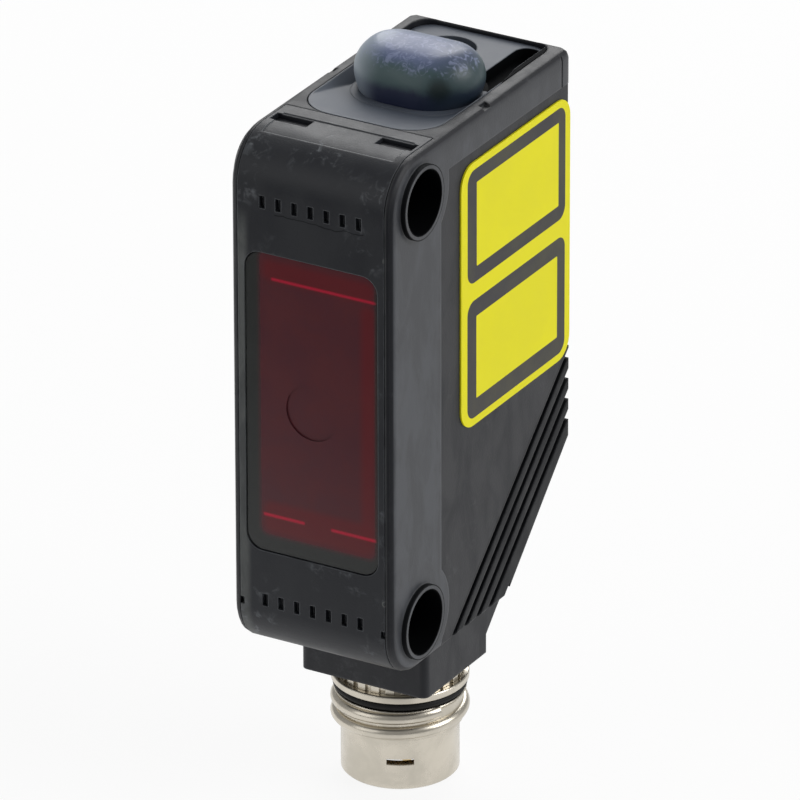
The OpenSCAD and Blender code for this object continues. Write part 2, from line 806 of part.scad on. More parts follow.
// The dome draws in as it rises. Its last ring is the small crown on top
module lens_dome() {
    hull() for (turn = [0:15:105]) {
        on_top = turn > 90;
        share = on_top ? 0.45 : 1;
        half_x = share * (lens_half_w - lens_round_x * (1 - max(0, cos(turn))));
        half_y = share * (lens_half_d - lens_round_y * (1 - max(0, cos(turn))));
        corner = min(lens_corner_r, half_x * 0.95, half_y * 0.95);
        height = on_top ? lens_h + lens_crown : lens_h * sin(turn);
        translate([0, lens_y, dish_z - lens_hole_gap + height - eps]) linear_extrude(eps)
            polygon(rounded_box(half_x, -half_y, half_y, corner, corner));
    }
}

module top_panel() {
    channel_right = panel_half_w - channel_in;
    dish_back_y = lens_y + lens_half_d * 0.3;
    color("#35383c") difference() {
        union() {
            translate([0, 0, panel_under_z]) linear_extrude(panel_t) polygon(
                rounded_box(panel_half_w, panel_front_y, panel_rear_y, panel_front_r, panel_back_r));
            intersection() {
                translate([0, 0, panel_under_z]) linear_extrude(panel_t + panel_drop) polygon(
                    rounded_box(panel_half_w, panel_front_y, panel_rear_y, panel_front_r, panel_back_r));
                union() {
                    box(-far, far, front_y, dish_back_y, -far, far);
                    box(channel_right, far, front_y, far, -far, far);
                }
            }
        }
        hull() {
            translate([0, 0, top_z]) linear_extrude(1) polygon(rounded_box(panel_half_w - 0.05,
                panel_front_y + 0.05, dish_back_y + 3, panel_front_r, 0.5));
            translate([0, 0, dish_z]) linear_extrude(1) lens_plan(0.25);
        }
        translate([0, 0, panel_under_z - 1]) linear_extrude(far) lens_plan(lens_hole_gap);
        upright(button_x, button_y, panel_under_z - 1, top_z + 1, button_hole_d);
        translate([0, 0, floor_z - channel_depth]) linear_extrude(far) polygon([
            for (p = rounded_box(channel_w / 2, lens_y + lens_half_d * 0.5, panel_rear_y - channel_in, 0.3,
                                 channel_w / 2 - seam))
                p + [channel_right - channel_w / 2, 0]
        ]);
    }
}

module panel_gasket() {
    front = panel_front_y + end_wall / 2;
    back = back_y - end_wall - 3 * seam;
    inner_r = 1 - panel_gasket_w;
    color("#111111") difference() {
        translate([0, 0, panel_under_z - panel_gasket_t]) linear_extrude(panel_gasket_t) difference() {
            polygon(rounded_box(board_half_w, front, back, 1, 1));
            polygon(rounded_box(board_half_w - panel_gasket_w, front + panel_gasket_w, back - panel_gasket_w,
                                inner_r, inner_r));
        }
        upright(button_x, button_y, panel_under_z - 1, panel_under_z + 1, seal_d + 2 * seam);
    }
}

module indicator_lens() {
    color("#8fa0bf") difference() {
        union() {
            lens_dome();
            translate([0, 0, lens_flange_z]) linear_extrude(dish_z - lens_hole_gap - lens_flange_z) lens_plan(0);
            translate([0, 0, lens_flange_z]) linear_extrude(lens_flange_t)
                lens_plan(lens_lip);
        }
        translate([0, 0, lens_flange_z - 1]) linear_extrude(dish_z + lens_h * 0.45 - lens_flange_z + 1)
            lens_plan(-lens_wall);
        upright(button_x, button_y, lens_flange_z - 1, panel_under_z, seal_d + 2 * seam);
    }
}

module set_button() {
    color("#1c1d1f") {
        difference() {
            upright(button_x, button_y, button_flange_z - eps, button_face_z, 2 * button_r);
            translate([button_x, button_y, button_face_z + 4 * button_r]) sphere(r = 4 * button_r + 0.25, $fn = 64);
        }
        upright(button_x, button_y, button_flange_z - button_flange_t, button_flange_z, seal_d);
        upright(button_x, button_y, stem_z, button_flange_z - button_flange_t + eps, stem_d);
    }
}

module button_seal() {
    color("#0f0f10") difference() {
        upright(button_x, button_y, panel_under_z - button_seal_t, panel_under_z, seal_d);
        upright(button_x, button_y, panel_under_z - 1, panel_under_z + 1, button_hole_d);
    }
}

module button_switch() {
    color("#c5c7c9") difference() {
        box(button_x - switch_w / 2, button_x + switch_w / 2, button_y - switch_w / 2, button_y + switch_w / 2,
            display_z, switch_top_z);
        upright(button_x, button_y, switch_well_z, switch_top_z + 1, stem_d + 2 * button_gap);
    }
}

module shell_ring(z0, z1, d) {
    upright(0, plug_y, z0, z1, d);
}

module collar_gaps() {
    for (i = [0:collar_teeth - 1])
        translate([0, plug_y, collar_z + collar_h / 2]) rotate([0, 0, 360 * i / collar_teeth])
            translate([collar_d / 2, 0, 0])
                cube([2 * tooth_depth, PI * collar_d / collar_teeth * 0.45, collar_h], center = true);
}

module snap_window() {
    translate([0, plug_y, plug_end_z + snap_up + snap_h / 2]) rotate([0, 0, snap_turn])
        translate([0, -sleeve_d / 2, 0]) cube([snap_w, 2 * snap_depth, snap_h], center = true);
}

module connector_shell() {
    color("#cfcabb") difference() {
        union() {
            shell_ring(collar_z, shank_top_z, shank_d);
            difference() {
                shell_ring(collar_z, plinth_z, collar_d);
                collar_gaps();
            }
            shell_ring(ring_z, collar_z, ring_d);
            shell_ring(o_groove_z, ring_z, o_groove_d);
            shell_ring(thread_z, o_groove_z, thread_d);
            shell_ring(plug_end_z, thread_z, sleeve_d);
        }
        shell_ring(plug_end_z - 1, socket_z, sleeve_bore_d);
        shell_ring(plug_end_z - 1, shank_top_z + 1, insert_d);
        snap_window();
        seal_groove();
    }
}

module seal_groove() {
    groove_z = plinth_z + shank_l / 2;
    translate([0, plug_y, groove_z]) difference() {
        cylinder(h = seal_t + 0.1, d = shank_d + 1, center = true, $fn = 48);
        cylinder(h = seal_t + 1, d = shank_d - seal_t, center = true, $fn = 48);
    }
}

module connector_insert() {
    color("#232323") difference() {
        shell_ring(socket_z, insert_top_z, insert_d - 2 * insert_gap);
        for (i = [0:3]) pin_at(i, socket_z - 1, insert_top_z + 1, pin_d);
    }
}

module pin_at(i, z0, z1, d) {
    turn = 45 + 90 * i;
    upright(pin_circle_d / 2 * cos(turn), plug_y + pin_circle_d / 2 * sin(turn), z0, z1, d);
}

module contact_pin(i) {
    turn = 45 + 90 * i;
    tip = pin_d / 2;
    color("#d9b45a") {
        pin_at(i, pin_tip_z + tip, pin_top_z, pin_d);
        translate([pin_circle_d / 2 * cos(turn), plug_y + pin_circle_d / 2 * sin(turn), pin_tip_z + tip])
            sphere(r = tip, $fn = 32);
    }
}

module contact_pin_1() {
    contact_pin(0);
}

module contact_pin_2() {
    contact_pin(1);
}

module contact_pin_3() {
    contact_pin(2);
}

module contact_pin_4() {
    contact_pin(3);
}

module coupling_o_ring() {
    color("#0c0c0c") translate([0, plug_y, o_groove_z + o_groove_h / 2]) rotate_extrude($fn = 64)
        translate([o_groove_d / 2 + o_ring_t / 2, 0]) circle(d = o_ring_t, $fn = 24);
}

module shell_seal() {
    color("#0c0c0c") translate([0, plug_y, plinth_z + shank_l / 2]) rotate_extrude($fn = 64)
        translate([shank_d / 2 - seal_t / 4, 0]) circle(d = seal_t / 2, $fn = 24);
}

module connector_flex() {
    bend_y = plug_y + flex_reach;
    rise_z = pin_top_z + main_board_y - bend_y;
    color("#c77b2e") across(flex_w) polygon([
        [plug_y - flex_reach, pin_top_z],
        [bend_y, pin_top_z],
        [main_board_y, rise_z],
        [main_board_y, main_board_z + 2],
        [main_board_y - flex_t, main_board_z + 2],
        [main_board_y - flex_t, rise_z + flex_t * slope],
        [bend_y - flex_t * slope, pin_top_z + flex_t],
        [plug_y - flex_reach, pin_top_z + flex_t]
    ]);
}

module side_label() {
    label_top_z = top_z - border_top - label_top_in;
    color("#e2da3c") translate([panel_x + label_t / 2, 0, 0]) across(label_t) polygon([
        for (p = rounded_box((back_y - label_back_in - front_y - label_in) / 2, label_top_z - label_h, label_top_z,
                             label_r, label_r))
            p + [(back_y - label_back_in + front_y + label_in) / 2, 0]
    ]);
}

housing();
front_cover();
window();
window_gasket();
optic_frame();
receiver_lens();
laser_barrel();
collimator_lens();
laser_retainer();
laser_diode();
receiver_chip();
receiver_shield();
sensor_board();
main_board();
processor_chip();
board_header();
display_board();
stability_lamp();
output_lamp();
top_panel();
panel_gasket();
indicator_lens();
set_button();
button_seal();
button_switch();
connector_shell();
connector_insert();
contact_pin_1();
contact_pin_2();
contact_pin_3();
contact_pin_4();
coupling_o_ring();
shell_seal();
connector_flex();
side_label();
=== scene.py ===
# %% [markdown]
# # Dressing a small laser sensor
# The sensor is a black moulded case with a dark red window, a milky lamp dome and a plated plug. Its solids
# come from the CAD model and stay where they are. This lesson sets up the photograph's camera and gives each
# solid the finish of the real one. It makes anew the few pieces whose surface is too fine for the solids: the
# skins of the mouldings, the dome and the lip round it, and the threaded plug with its rubber ring.

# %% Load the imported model
import math

import bmesh
import bpy
from mathutils import Matrix, Vector


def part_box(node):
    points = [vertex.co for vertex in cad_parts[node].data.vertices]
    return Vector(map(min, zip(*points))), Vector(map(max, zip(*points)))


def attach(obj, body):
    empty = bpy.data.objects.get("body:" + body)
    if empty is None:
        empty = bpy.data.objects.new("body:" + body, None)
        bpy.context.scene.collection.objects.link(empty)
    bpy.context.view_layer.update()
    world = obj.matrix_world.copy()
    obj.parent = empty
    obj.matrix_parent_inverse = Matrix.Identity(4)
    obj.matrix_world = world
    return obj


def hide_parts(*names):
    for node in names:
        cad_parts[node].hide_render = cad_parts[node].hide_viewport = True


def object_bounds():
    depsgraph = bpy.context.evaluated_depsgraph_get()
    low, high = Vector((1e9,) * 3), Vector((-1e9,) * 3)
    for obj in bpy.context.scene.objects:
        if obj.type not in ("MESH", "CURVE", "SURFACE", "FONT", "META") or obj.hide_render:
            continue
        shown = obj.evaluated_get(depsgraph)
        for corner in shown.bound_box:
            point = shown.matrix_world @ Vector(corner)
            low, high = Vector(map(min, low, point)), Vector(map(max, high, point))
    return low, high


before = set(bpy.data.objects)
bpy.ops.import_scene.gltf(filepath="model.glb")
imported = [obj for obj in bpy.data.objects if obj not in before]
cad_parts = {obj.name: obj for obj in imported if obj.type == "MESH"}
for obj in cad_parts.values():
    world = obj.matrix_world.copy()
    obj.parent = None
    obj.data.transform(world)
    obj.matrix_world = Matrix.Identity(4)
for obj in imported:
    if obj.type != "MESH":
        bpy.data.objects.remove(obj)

MM = 0.001
scene = bpy.context.scene
cad_low, cad_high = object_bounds()


def put_in_scene(name, data):
    """A new object that shows this data."""
    thing = bpy.data.objects.new(name, data)
    scene.collection.objects.link(thing)
    return thing


# %% [markdown]
# ## The camera
# The photograph was taken with a long lens from the right, a little above the sensor. The angles and the
# distance were worked out from the corners of the case, so the camera is built from them directly: three
# axes that point right, up and back, and a place along the back axis. A long lens keeps the far edges
# nearly parallel to the near ones.

# %% Build the camera from its angles
AZIMUTH, ELEVATION, ROLL = (math.radians(angle) for angle in (29.987, 25.333, -0.139))
AIM = Vector((0.0, 6.9, 0.0)) * MM
ASIDE, ABOVE, DISTANCE = -0.133, -2.922, 619.192
FILM_WIDTH, FOCAL_LENGTH = 36.0, 502.93

back = Vector((math.sin(AZIMUTH) * math.cos(ELEVATION),
               -math.cos(AZIMUTH) * math.cos(ELEVATION),
               math.sin(ELEVATION)))
level_right = Vector((math.cos(AZIMUTH), math.sin(AZIMUTH), 0.0))
level_up = back.cross(level_right)
right = math.cos(ROLL) * level_right + math.sin(ROLL) * level_up
up = -math.sin(ROLL) * level_right + math.cos(ROLL) * level_up

camera = put_in_scene("camera", bpy.data.cameras.new("camera"))
camera.data.sensor_width, camera.data.lens = FILM_WIDTH, FOCAL_LENGTH
camera.data.clip_start, camera.data.clip_end = 0.05, 20.0
place = AIM + (ASIDE * right + ABOVE * up + DISTANCE * back) * MM
camera.matrix_world = Matrix.Translation(place) @ Matrix((right, up, back)).transposed().to_4x4()
scene.camera = camera
print("camera at", [round(c, 4) for c in place])

# %% [markdown]
# ## Node helpers
# Every material and every geometry tree below is made of nodes in code, and a few small helpers keep that
# readable. A socket takes either a plain value or a wire from another node, and one helper tells them apart,
# so the same call can pass a number, a colour or the result of an earlier step.

# %% Wires, values and trees
def feed(tree, socket, value):
    """Gives a socket a wire, if value is a socket itself, or else the plain value. A colour may leave out its
    alpha."""
    if isinstance(value, bpy.types.NodeSocket):
        tree.links.new(value, socket)
    elif socket.type == "RGBA" and len(value) == 3:
        socket.default_value = (*value, 1.0)
    else:
        socket.default_value = value


def set_up(tree, node, inputs):
    """Feeds several inputs of a node, by name or number."""
    for key, value in inputs.items():
        feed(tree, node.inputs[key], value)


def add(tree, kind, inputs=None, **settings):
    """Adds a node, makes its own settings and feeds its inputs."""
    node = tree.nodes.new(kind)
    for name, value in settings.items():
        setattr(node, name, value)
    set_up(tree, node, inputs or {})
    return node


def new_tree(name, kind, inputs, outputs):
    """Starts a tree with named sockets: inputs are (name, kind, value) and outputs are (name, kind). Returns
    the tree, and its inputs and outputs as sockets to wire."""
    tree = bpy.data.node_groups.new(name, kind)
    for label, socket_kind, value in inputs:
        socket = tree.interface.new_socket(name=label, in_out="INPUT", socket_type=socket_kind)
        if value is not None:
            socket.default_value = value
    for label, socket_kind in outputs:
        tree.interface.new_socket(name=label, in_out="OUTPUT", socket_type=socket_kind)
    return tree, tree.nodes.new("NodeGroupInput").outputs, tree.nodes.new("NodeGroupOutput").inputs


def use_group(tree, group, inputs=None):
    """Places a shader group in a tree with its own values. Returns its outputs."""
    return add(tree, "ShaderNodeGroup", inputs, node_tree=group).outputs


FLOAT, VECTOR = "NodeSocketFloat", "NodeSocketVector"

# %% [markdown]
# ## Masks and colours
# A mask is a number from 0 to 1 that says how much of a colour or a shade a point gets. Most masks here start
# as a distance, and a soft ramp turns the distance into a mask. Masks are multiplied to narrow them, and the
# higher one is taken to join them.

# %% Sums, masks and colours
def math_node(tree, operation, *values, clamp=False):
    """A Math node of one operation. Returns its output."""
    node = add(tree, "ShaderNodeMath", dict(enumerate(values)), operation=operation, use_clamp=clamp)
    return node.outputs[0]


def times(tree, first, *others):
    """The product of two or more values."""
    for other in others:
        first = math_node(tree, "MULTIPLY", first, other)
    return first


def highest(tree, first, *others):
    """The highest of two or more values."""
    for other in others:
        first = math_node(tree, "MAXIMUM", first, other)
    return first


def less(tree, value, other):
    """The first value less the other."""
    return math_node(tree, "SUBTRACT", value, other)


def scaled(tree, value, share, start, clamp=False):
    """A value times share, added to start."""
    return math_node(tree, "MULTIPLY_ADD", value, share, start, clamp=clamp)


def gap(tree, value, middle):
    """How far a value lies from a middle one, on either side."""
    return math_node(tree, "ABSOLUTE", less(tree, value, middle))


def reach(tree, across, along):
    """The straight distance that two distances at right angles make."""
    return math_node(tree, "SQRT", math_node(tree, "ADD", math_node(tree, "POWER", across, 2.0),
                                             math_node(tree, "POWER", along, 2.0)))


def ramp(tree, value, low, high, to_low=0.0, to_high=1.0):
    """Maps value from low..high to to_low..to_high with a soft start and end."""
    limits = {"Value": value, "From Min": low, "From Max": high, "To Min": to_low, "To Max": to_high}
    return add(tree, "ShaderNodeMapRange", limits, interpolation_type="SMOOTHSTEP").outputs["Result"]


def blend_colours(tree, share, first, second):
    """Mixes two colours by a mask. A Mix node's colour sockets are its inputs 6 and 7 and its output 2."""
    return add(tree, "ShaderNodeMix", {0: share, 6: first, 7: second}, data_type="RGBA").outputs[2]


# %% [markdown]
# ## Places, clouds and bumps
# Patterns are tied to each point's place on the piece itself, so they stay put when the piece or the camera
# moves. Noise at a large scale gives clouds and at a small one grain, and a bump turns a height into fine
# light and shade without adding faces.

# %% Places, clouds and bumps
def object_place(tree):
    """The place of each point in the piece's own coordinates, in metres."""
    return add(tree, "ShaderNodeTexCoord").outputs["Object"]


def object_axes(tree):
    """The same place as separate X, Y and Z."""
    return add(tree, "ShaderNodeSeparateXYZ", {"Vector": object_place(tree)}).outputs


def triple(tree, x=0.0, y=0.0, z=0.0):
    """One vector of three values."""
    return add(tree, "ShaderNodeCombineXYZ", {"X": x, "Y": y, "Z": z}).outputs[0]


def vector_math(tree, operation, first, second):
    """A Vector Math node of one operation."""
    return add(tree, "ShaderNodeVectorMath", {0: first, 1: second}, operation=operation).outputs


def noise(tree, where, scale, detail=2.0, roughness=0.5, distortion=0.0):
    """Cloudy noise, from 0 to 1."""
    return add(tree, "ShaderNodeTexNoise", {"Vector": where, "Scale": scale, "Detail": detail,
                                            "Roughness": roughness, "Distortion": distortion}).outputs["Fac"]


def bump(tree, height, depth, strength=1.0, **more):
    """The normal of a surface whose height changes by up to depth, in metres."""
    return add(tree, "ShaderNodeBump", {"Height": height, "Distance": depth, "Strength": strength,
                                        **more}).outputs["Normal"]


# %% [markdown]
# ## Shared effects
# Moulded plastic shows the same few things everywhere: a fine grain from the mould, edges that have rubbed
# a little paler, and faint scuffs on flat faces. Each is one shader group with named inputs, so every
# material can use it at its own strength. Object coordinates are in metres, so a scale of 9000 gives grain
# about a tenth of a millimetre across.

# %% Mould grain, and clouds that can be drawn out upright
mould_grain, g_in, g_out = new_tree(
    "mould_grain", "ShaderNodeTree",
    [("Grain Scale", FLOAT, 9000.0), ("Cloud Scale", FLOAT, 260.0), ("Upright Scale", FLOAT, 1.0)],
    [("Height", FLOAT), ("Cloud", FLOAT)])
where = object_place(mould_grain)
stretch = triple(mould_grain, 1.0, 1.0, g_in["Upright Scale"])
drawn_out = vector_math(mould_grain, "MULTIPLY", where, stretch)["Vector"]
cloud = noise(mould_grain, drawn_out, g_in["Cloud Scale"], 4.0, 0.62, 0.4)
feed(mould_grain, g_out["Height"], noise(mould_grain, where, g_in["Grain Scale"], 2.0, 0.6))
feed(mould_grain, g_out["Cloud"], ramp(mould_grain, cloud, 0.36, 0.66))

# %% Rubbed edges
STRAIGHT, WELL_TURNED = 0.995, 0.86

rubbed_edges, g_in, g_out = new_tree(
    "rubbed_edges", "ShaderNodeTree", [("Edge Radius", FLOAT, 0.12 * MM), ("Patchiness", FLOAT, 0.5)],
    [("Edge", FLOAT), ("Normal", VECTOR)])
rounded = add(rubbed_edges, "ShaderNodeBevel", {"Radius": g_in["Edge Radius"]}, samples=6).outputs["Normal"]
facing = add(rubbed_edges, "ShaderNodeNewGeometry").outputs["Normal"]
agree = vector_math(rubbed_edges, "DOT_PRODUCT", rounded, facing)["Value"]
patches = ramp(rubbed_edges, noise(rubbed_edges, object_place(rubbed_edges), 700.0, 3.0), 0.35, 0.62)
kept = scaled(rubbed_edges, g_in["Patchiness"], less(rubbed_edges, patches, 1.0), 1.0)
turned = ramp(rubbed_edges, agree, STRAIGHT, WELL_TURNED)
feed(rubbed_edges, g_out["Edge"], math_node(rubbed_edges, "MULTIPLY", turned, kept, clamp=True))
feed(rubbed_edges, g_out["Normal"], rounded)

# %% Scuffs
scuffs, g_in, g_out = new_tree(
    "scuffs", "ShaderNodeTree", [("Mark Scale", FLOAT, 1500.0), ("Amount", FLOAT, 0.5)], [("Mark", FLOAT)])
where = object_place(scuffs)
streaks = noise(scuffs, where, g_in["Mark Scale"], 4.0, 0.62, 0.5)
mark = times(scuffs, ramp(scuffs, streaks, 0.5, 0.78), ramp(scuffs, noise(scuffs, where, 230.0), 0.5, 0.68))
feed(scuffs, g_out["Mark"], math_node(scuffs, "MULTIPLY", mark, g_in["Amount"], clamp=True))

# %% [markdown]
# ## Fields with round corners
# The label's frames, the lines in the pane and the panel's slot are all rectangles with round corners. The
# mask of one comes from the distance to its outline, so its border is as sharp or as soft as it has to be.

# %% A field with round corners
SHARPEST = 0.01 * MM

field_shape, g_in, g_out = new_tree(
    "print_field", "ShaderNodeTree",
    [("Across", FLOAT, 0.0), ("Height", FLOAT, 0.0), ("Middle Across", FLOAT, 0.0),
     ("Middle Height", FLOAT, 0.0), ("Half Width", FLOAT, 5 * MM), ("Half Height", FLOAT, 3 * MM),
     ("Corner", FLOAT, 0.5 * MM), ("Softness", FLOAT, SHARPEST)], [("Field", FLOAT)])


def past_side(tree, way, half):
    """How far a point lies past the straight part of a side, before the corner's curve."""
    straight = less(tree, g_in[half], g_in["Corner"])
    return less(tree, gap(tree, g_in[way], g_in["Middle " + way]), straight)


past_width = past_side(field_shape, "Across", "Half Width")
past_height = past_side(field_shape, "Height", "Half Height")
round_off = reach(field_shape, highest(field_shape, past_width, 0.0), highest(field_shape, past_height, 0.0))
inside = math_node(field_shape, "MINIMUM", highest(field_shape, past_width, past_height), 0.0)
distance = less(field_shape, math_node(field_shape, "ADD", round_off, inside), g_in["Corner"])
outside = math_node(field_shape, "DIVIDE", distance, highest(field_shape, g_in["Softness"], SHARPEST))
feed(field_shape, g_out["Field"], ramp(field_shape, outside, 1.0, -1.0))


def field_at(tree, across, height, place, soft=0.0):
    """Mask of a field. place is its middle, half sizes and corner, and soft its border, in millimetres."""
    names = ("Middle Across", "Middle Height", "Half Width", "Half Height", "Corner")
    sizes = {name: size * MM for name, size in zip(names, place)}
    return use_group(tree, field_shape, {"Across": across, "Height": height, "Softness": soft * MM,
                                         **sizes})["Field"]


print("shader groups:", [g.name for g in bpy.data.node_groups])

# %% [markdown]
# ## Plastics
# Black plastic is never black in a photograph: most of what is seen is the pale room in its skin. So the
# colour stays near black and the roughness does the work. The case and the cover are matt, and the panel on
# top is a blue grey. One function makes all of them, and each finish gives its own numbers.

# %% Moulded plastic
SHADE_AND_LINE_COLOUR, SHADE_AND_LINE_ROUGHNESS = (0.008, 0.009, 0.010), 0.85
EDGE_WEAR, ROUGHER_WHERE_WORN = 0.55, 0.12
CLOUD_GAIN, CLOUD_LIFT = 1.9, 0.004


def start_material(name):
    """An empty node material. Returns it, its tree and its Principled node."""
    material = bpy.data.materials.new(name)
    material.use_nodes = True
    tree = material.node_tree
    return material, tree, tree.nodes["Principled BSDF"]


def moulded_plastic(name, colour, worn, roughness, grain=0.01 * MM, edge=0.12 * MM, scuff=0.3,
                    cloudiness=0.35, specular=0.5, spread=0.08, clouded=None, cloud_scale=260.0,
                    upright=1.0, cloud_on=None, shade=None):
    """Plastic with grain, cloudy tone, rubbed edges and scuffs. cloud_on turns the clouds into the mask of
    the paler tone, which on the cover also holds a painted highlight. shade draws a mask of painted deep
    shade, and on the cover of the dark weld line: a metal of almost no colour there gives back next to
    nothing."""
    material, tree, shader = start_material(name)
    moulded = use_group(tree, mould_grain, {"Cloud Scale": cloud_scale, "Upright Scale": upright})
    edges = use_group(tree, rubbed_edges, {"Edge Radius": edge})
    mark = use_group(tree, scuffs, {"Amount": scuff})["Mark"]
    cloud = cloud_on(tree, moulded["Cloud"]) if cloud_on else times(tree, moulded["Cloud"], cloudiness)
    clouded = clouded or tuple(min(1.0, c * CLOUD_GAIN + CLOUD_LIFT) for c in colour)
    toned = blend_colours(tree, cloud, colour, clouded)
    wear = highest(tree, times(tree, edges["Edge"], EDGE_WEAR), mark)
    final = blend_colours(tree, wear, toned, worn)
    rough = scaled(tree, moulded["Cloud"], spread, roughness)
    rough = scaled(tree, wear, ROUGHER_WHERE_WORN, rough, clamp=True)
    if shade:
        # The shade mask paints deep shade near black, and on the cover the dark weld line.
        dark = shade(tree)
        final = blend_colours(tree, dark, final, SHADE_AND_LINE_COLOUR)
        rough = highest(tree, rough, times(tree, dark, SHADE_AND_LINE_ROUGHNESS))
        set_up(tree, shader, {"Metallic": dark})
    set_up(tree, shader, {"Base Color": final, "Roughness": rough, "Specular IOR Level": specular,
                          "Normal": bump(tree, moulded["Height"], grain, Normal=edges["Normal"])})
    return material


# %% [markdown]
# ## Shade and wear on the case
# The photograph shows the case in three tones. The linings of its holes, the low walls of the bosses and the
# grooved grip hardly catch any light. The raised border of the side walls is the palest, because hands and
# wrenches rub it. The sunken walls lie between. Each tone is a mask, worked out from the sizes of the solid.

# %% Masks for the case
HOLE_Z, HOLE_R, BOSS_R = 12.7 * MM, 1.85 * MM, 2.15 * MM
BOSS_SHADE, GRIP_SHADE = 0.85, 0.5
GRIP_SLOPE = math.tan(math.radians(43))
GRIP_TOP = (-2.98 + 0.30 - 16.9 * GRIP_SLOPE) * MM
GRIP_END = -15.45 * MM
SUNKEN_X, BORDER_X, GRIP_X = 5.0 * MM, 5.1 * MM, 4.4 * MM
UPPER_BORDER_Z, UPPER_BORDER_TONE = 14.0 * MM, 0.55
BORDER_TONE, BORDER_STREAKS = 0.46, 0.62


def case_shade(tree):
    """Mask of the case's deep shade: the linings of the mounting holes, the low walls of the bosses round
    them and, by half, the grooved grip."""
    axes = object_axes(tree)
    sides = math_node(tree, "ABSOLUTE", axes["X"])
    off_z = less(tree, math_node(tree, "ABSOLUTE", axes["Z"]), HOLE_Z)
    from_hole = reach(tree, axes["Y"], off_z)
    lining = ramp(tree, from_hole, HOLE_R + 0.08 * MM, HOLE_R + 0.02 * MM)
    boss_wall = times(
        tree, ramp(tree, gap(tree, from_hole, BOSS_R), 0.09 * MM, 0.04 * MM, to_high=BOSS_SHADE),
        ramp(tree, sides, BORDER_X, BORDER_X + 0.03 * MM))
    level = scaled(tree, axes["Y"], -GRIP_SLOPE, axes["Z"])
    grip = times(tree, ramp(tree, level, GRIP_TOP + 0.04 * MM, GRIP_TOP - 0.04 * MM, to_high=GRIP_SHADE),
                 ramp(tree, axes["Z"], GRIP_END, GRIP_END + 0.3 * MM),
                 ramp(tree, sides, GRIP_X, GRIP_X + 0.2 * MM))
    return highest(tree, lining, boss_wall, grip)


def raised_border(tree, cloud):
    """The paler tone of the side walls' raised border, in soft streaks, and fainter along the top."""
    axes = object_axes(tree)
    on_border = times(
        tree, ramp(tree, math_node(tree, "ABSOLUTE", axes["X"]), SUNKEN_X + 0.01 * MM, SUNKEN_X + 0.07 * MM),
        ramp(tree, axes["Z"], UPPER_BORDER_Z, UPPER_BORDER_Z + 1.2 * MM, 1.0, UPPER_BORDER_TONE))
    return times(tree, on_border, scaled(tree, cloud, BORDER_STREAKS, BORDER_TONE))


# %% [markdown]
# ## Marks and painted light on the cover and the panel
# The cover is painted paler along its left edge, a painted highlight on its rounded edge, and carries the
# marks of its making: a small ring where each of two ejector pins pushed it out of the mould, and a fine line
# under the upper vents, where two fronts of hot plastic met. The top panel has a deep slot on its right. The
# solids hold the slot, and its mask paints the slot and the narrow strip beyond it in shade, which keeps the
# light of the room out of them.

# %% Masks for the cover and the panel
LEFT_EDGE_X, LEFT_EDGE_TOP_Z = -3.8 * MM, 9.8 * MM
FAINT_TONE, LEFT_HIGHLIGHT_TONE, CLOUD_BASE, CLOUD_SHARE = 0.1, 0.85, 0.62, 0.6
PIN_MARKS, PIN_MARK_R = ((4.62, -10.48), (4.72, 10.25)), 0.15 * MM
WELD_LINE, WELD_WAVER, WELD_TONE = (0.55, 11.71, 2.8, 0.03, 0.03), 0.5 * MM, 0.6
SLOT, SLOT_TOP_Z = (3.07, 13.25, 0.82, 3.0, 0.779), 15.1 * MM
STRIP_X, STRIP_Y = 3.86 * MM, 10.25 * MM


def left_edge_highlight_and_pin_marks(tree, cloud):
    """The paler tone of the cover: faint all over, a painted highlight along its left edge, and a ring at
    each pin.
    """
    axes = object_axes(tree)
    # The paler tone along the left edge is a painted highlight on the cover's rounded edge.
    left = times(tree, ramp(tree, axes["X"], LEFT_EDGE_X, LEFT_EDGE_X - 0.5 * MM),
                 ramp(tree, axes["Z"], LEFT_EDGE_TOP_Z + 2.0 * MM, LEFT_EDGE_TOP_Z))
    tone = times(tree, scaled(tree, left, LEFT_HIGHLIGHT_TONE, FAINT_TONE),
                 scaled(tree, cloud, CLOUD_SHARE, CLOUD_BASE))
    for mark_x, mark_z in PIN_MARKS:
        from_pin = reach(tree, less(tree, axes["X"], mark_x * MM), less(tree, axes["Z"], mark_z * MM))
        ring = ramp(tree, gap(tree, from_pin, PIN_MARK_R), 0.06 * MM, 0.02 * MM)
        tone = highest(tree, tone, ring)
    return tone


def weld_line(tree):
    """Mask of the fine line under the upper row of vents. It wavers by half a millimetre."""
    axes = object_axes(tree)
    height = scaled(tree, noise(tree, object_place(tree), 800.0), WELD_WAVER, axes["Z"])
    return times(tree, field_at(tree, axes["X"], height, WELD_LINE, 0.03), WELD_TONE)


def panel_slot_shade(tree):
    """Mask of painted shade in the slot along the right of the top panel, and on the narrow strip beyond it.
    """
    axes = object_axes(tree)
    # Painted shade: the slot and the strip beyond it are painted near black.
    slot = times(tree, field_at(tree, axes["X"], axes["Y"], SLOT),
                 ramp(tree, axes["Z"], SLOT_TOP_Z + 0.03 * MM, SLOT_TOP_Z))
    strip = times(tree, ramp(tree, axes["X"], STRIP_X, STRIP_X + 0.04 * MM),
                  ramp(tree, axes["Y"], STRIP_Y, STRIP_Y + 0.6 * MM))
    return highest(tree, slot, strip)


# %% [markdown]
# ## The nine plastics
# Nine plastics come from the one function. The three that are seen most carry the masks above. The button,
# the seals and the parts inside differ only in colour, gloss and wear.

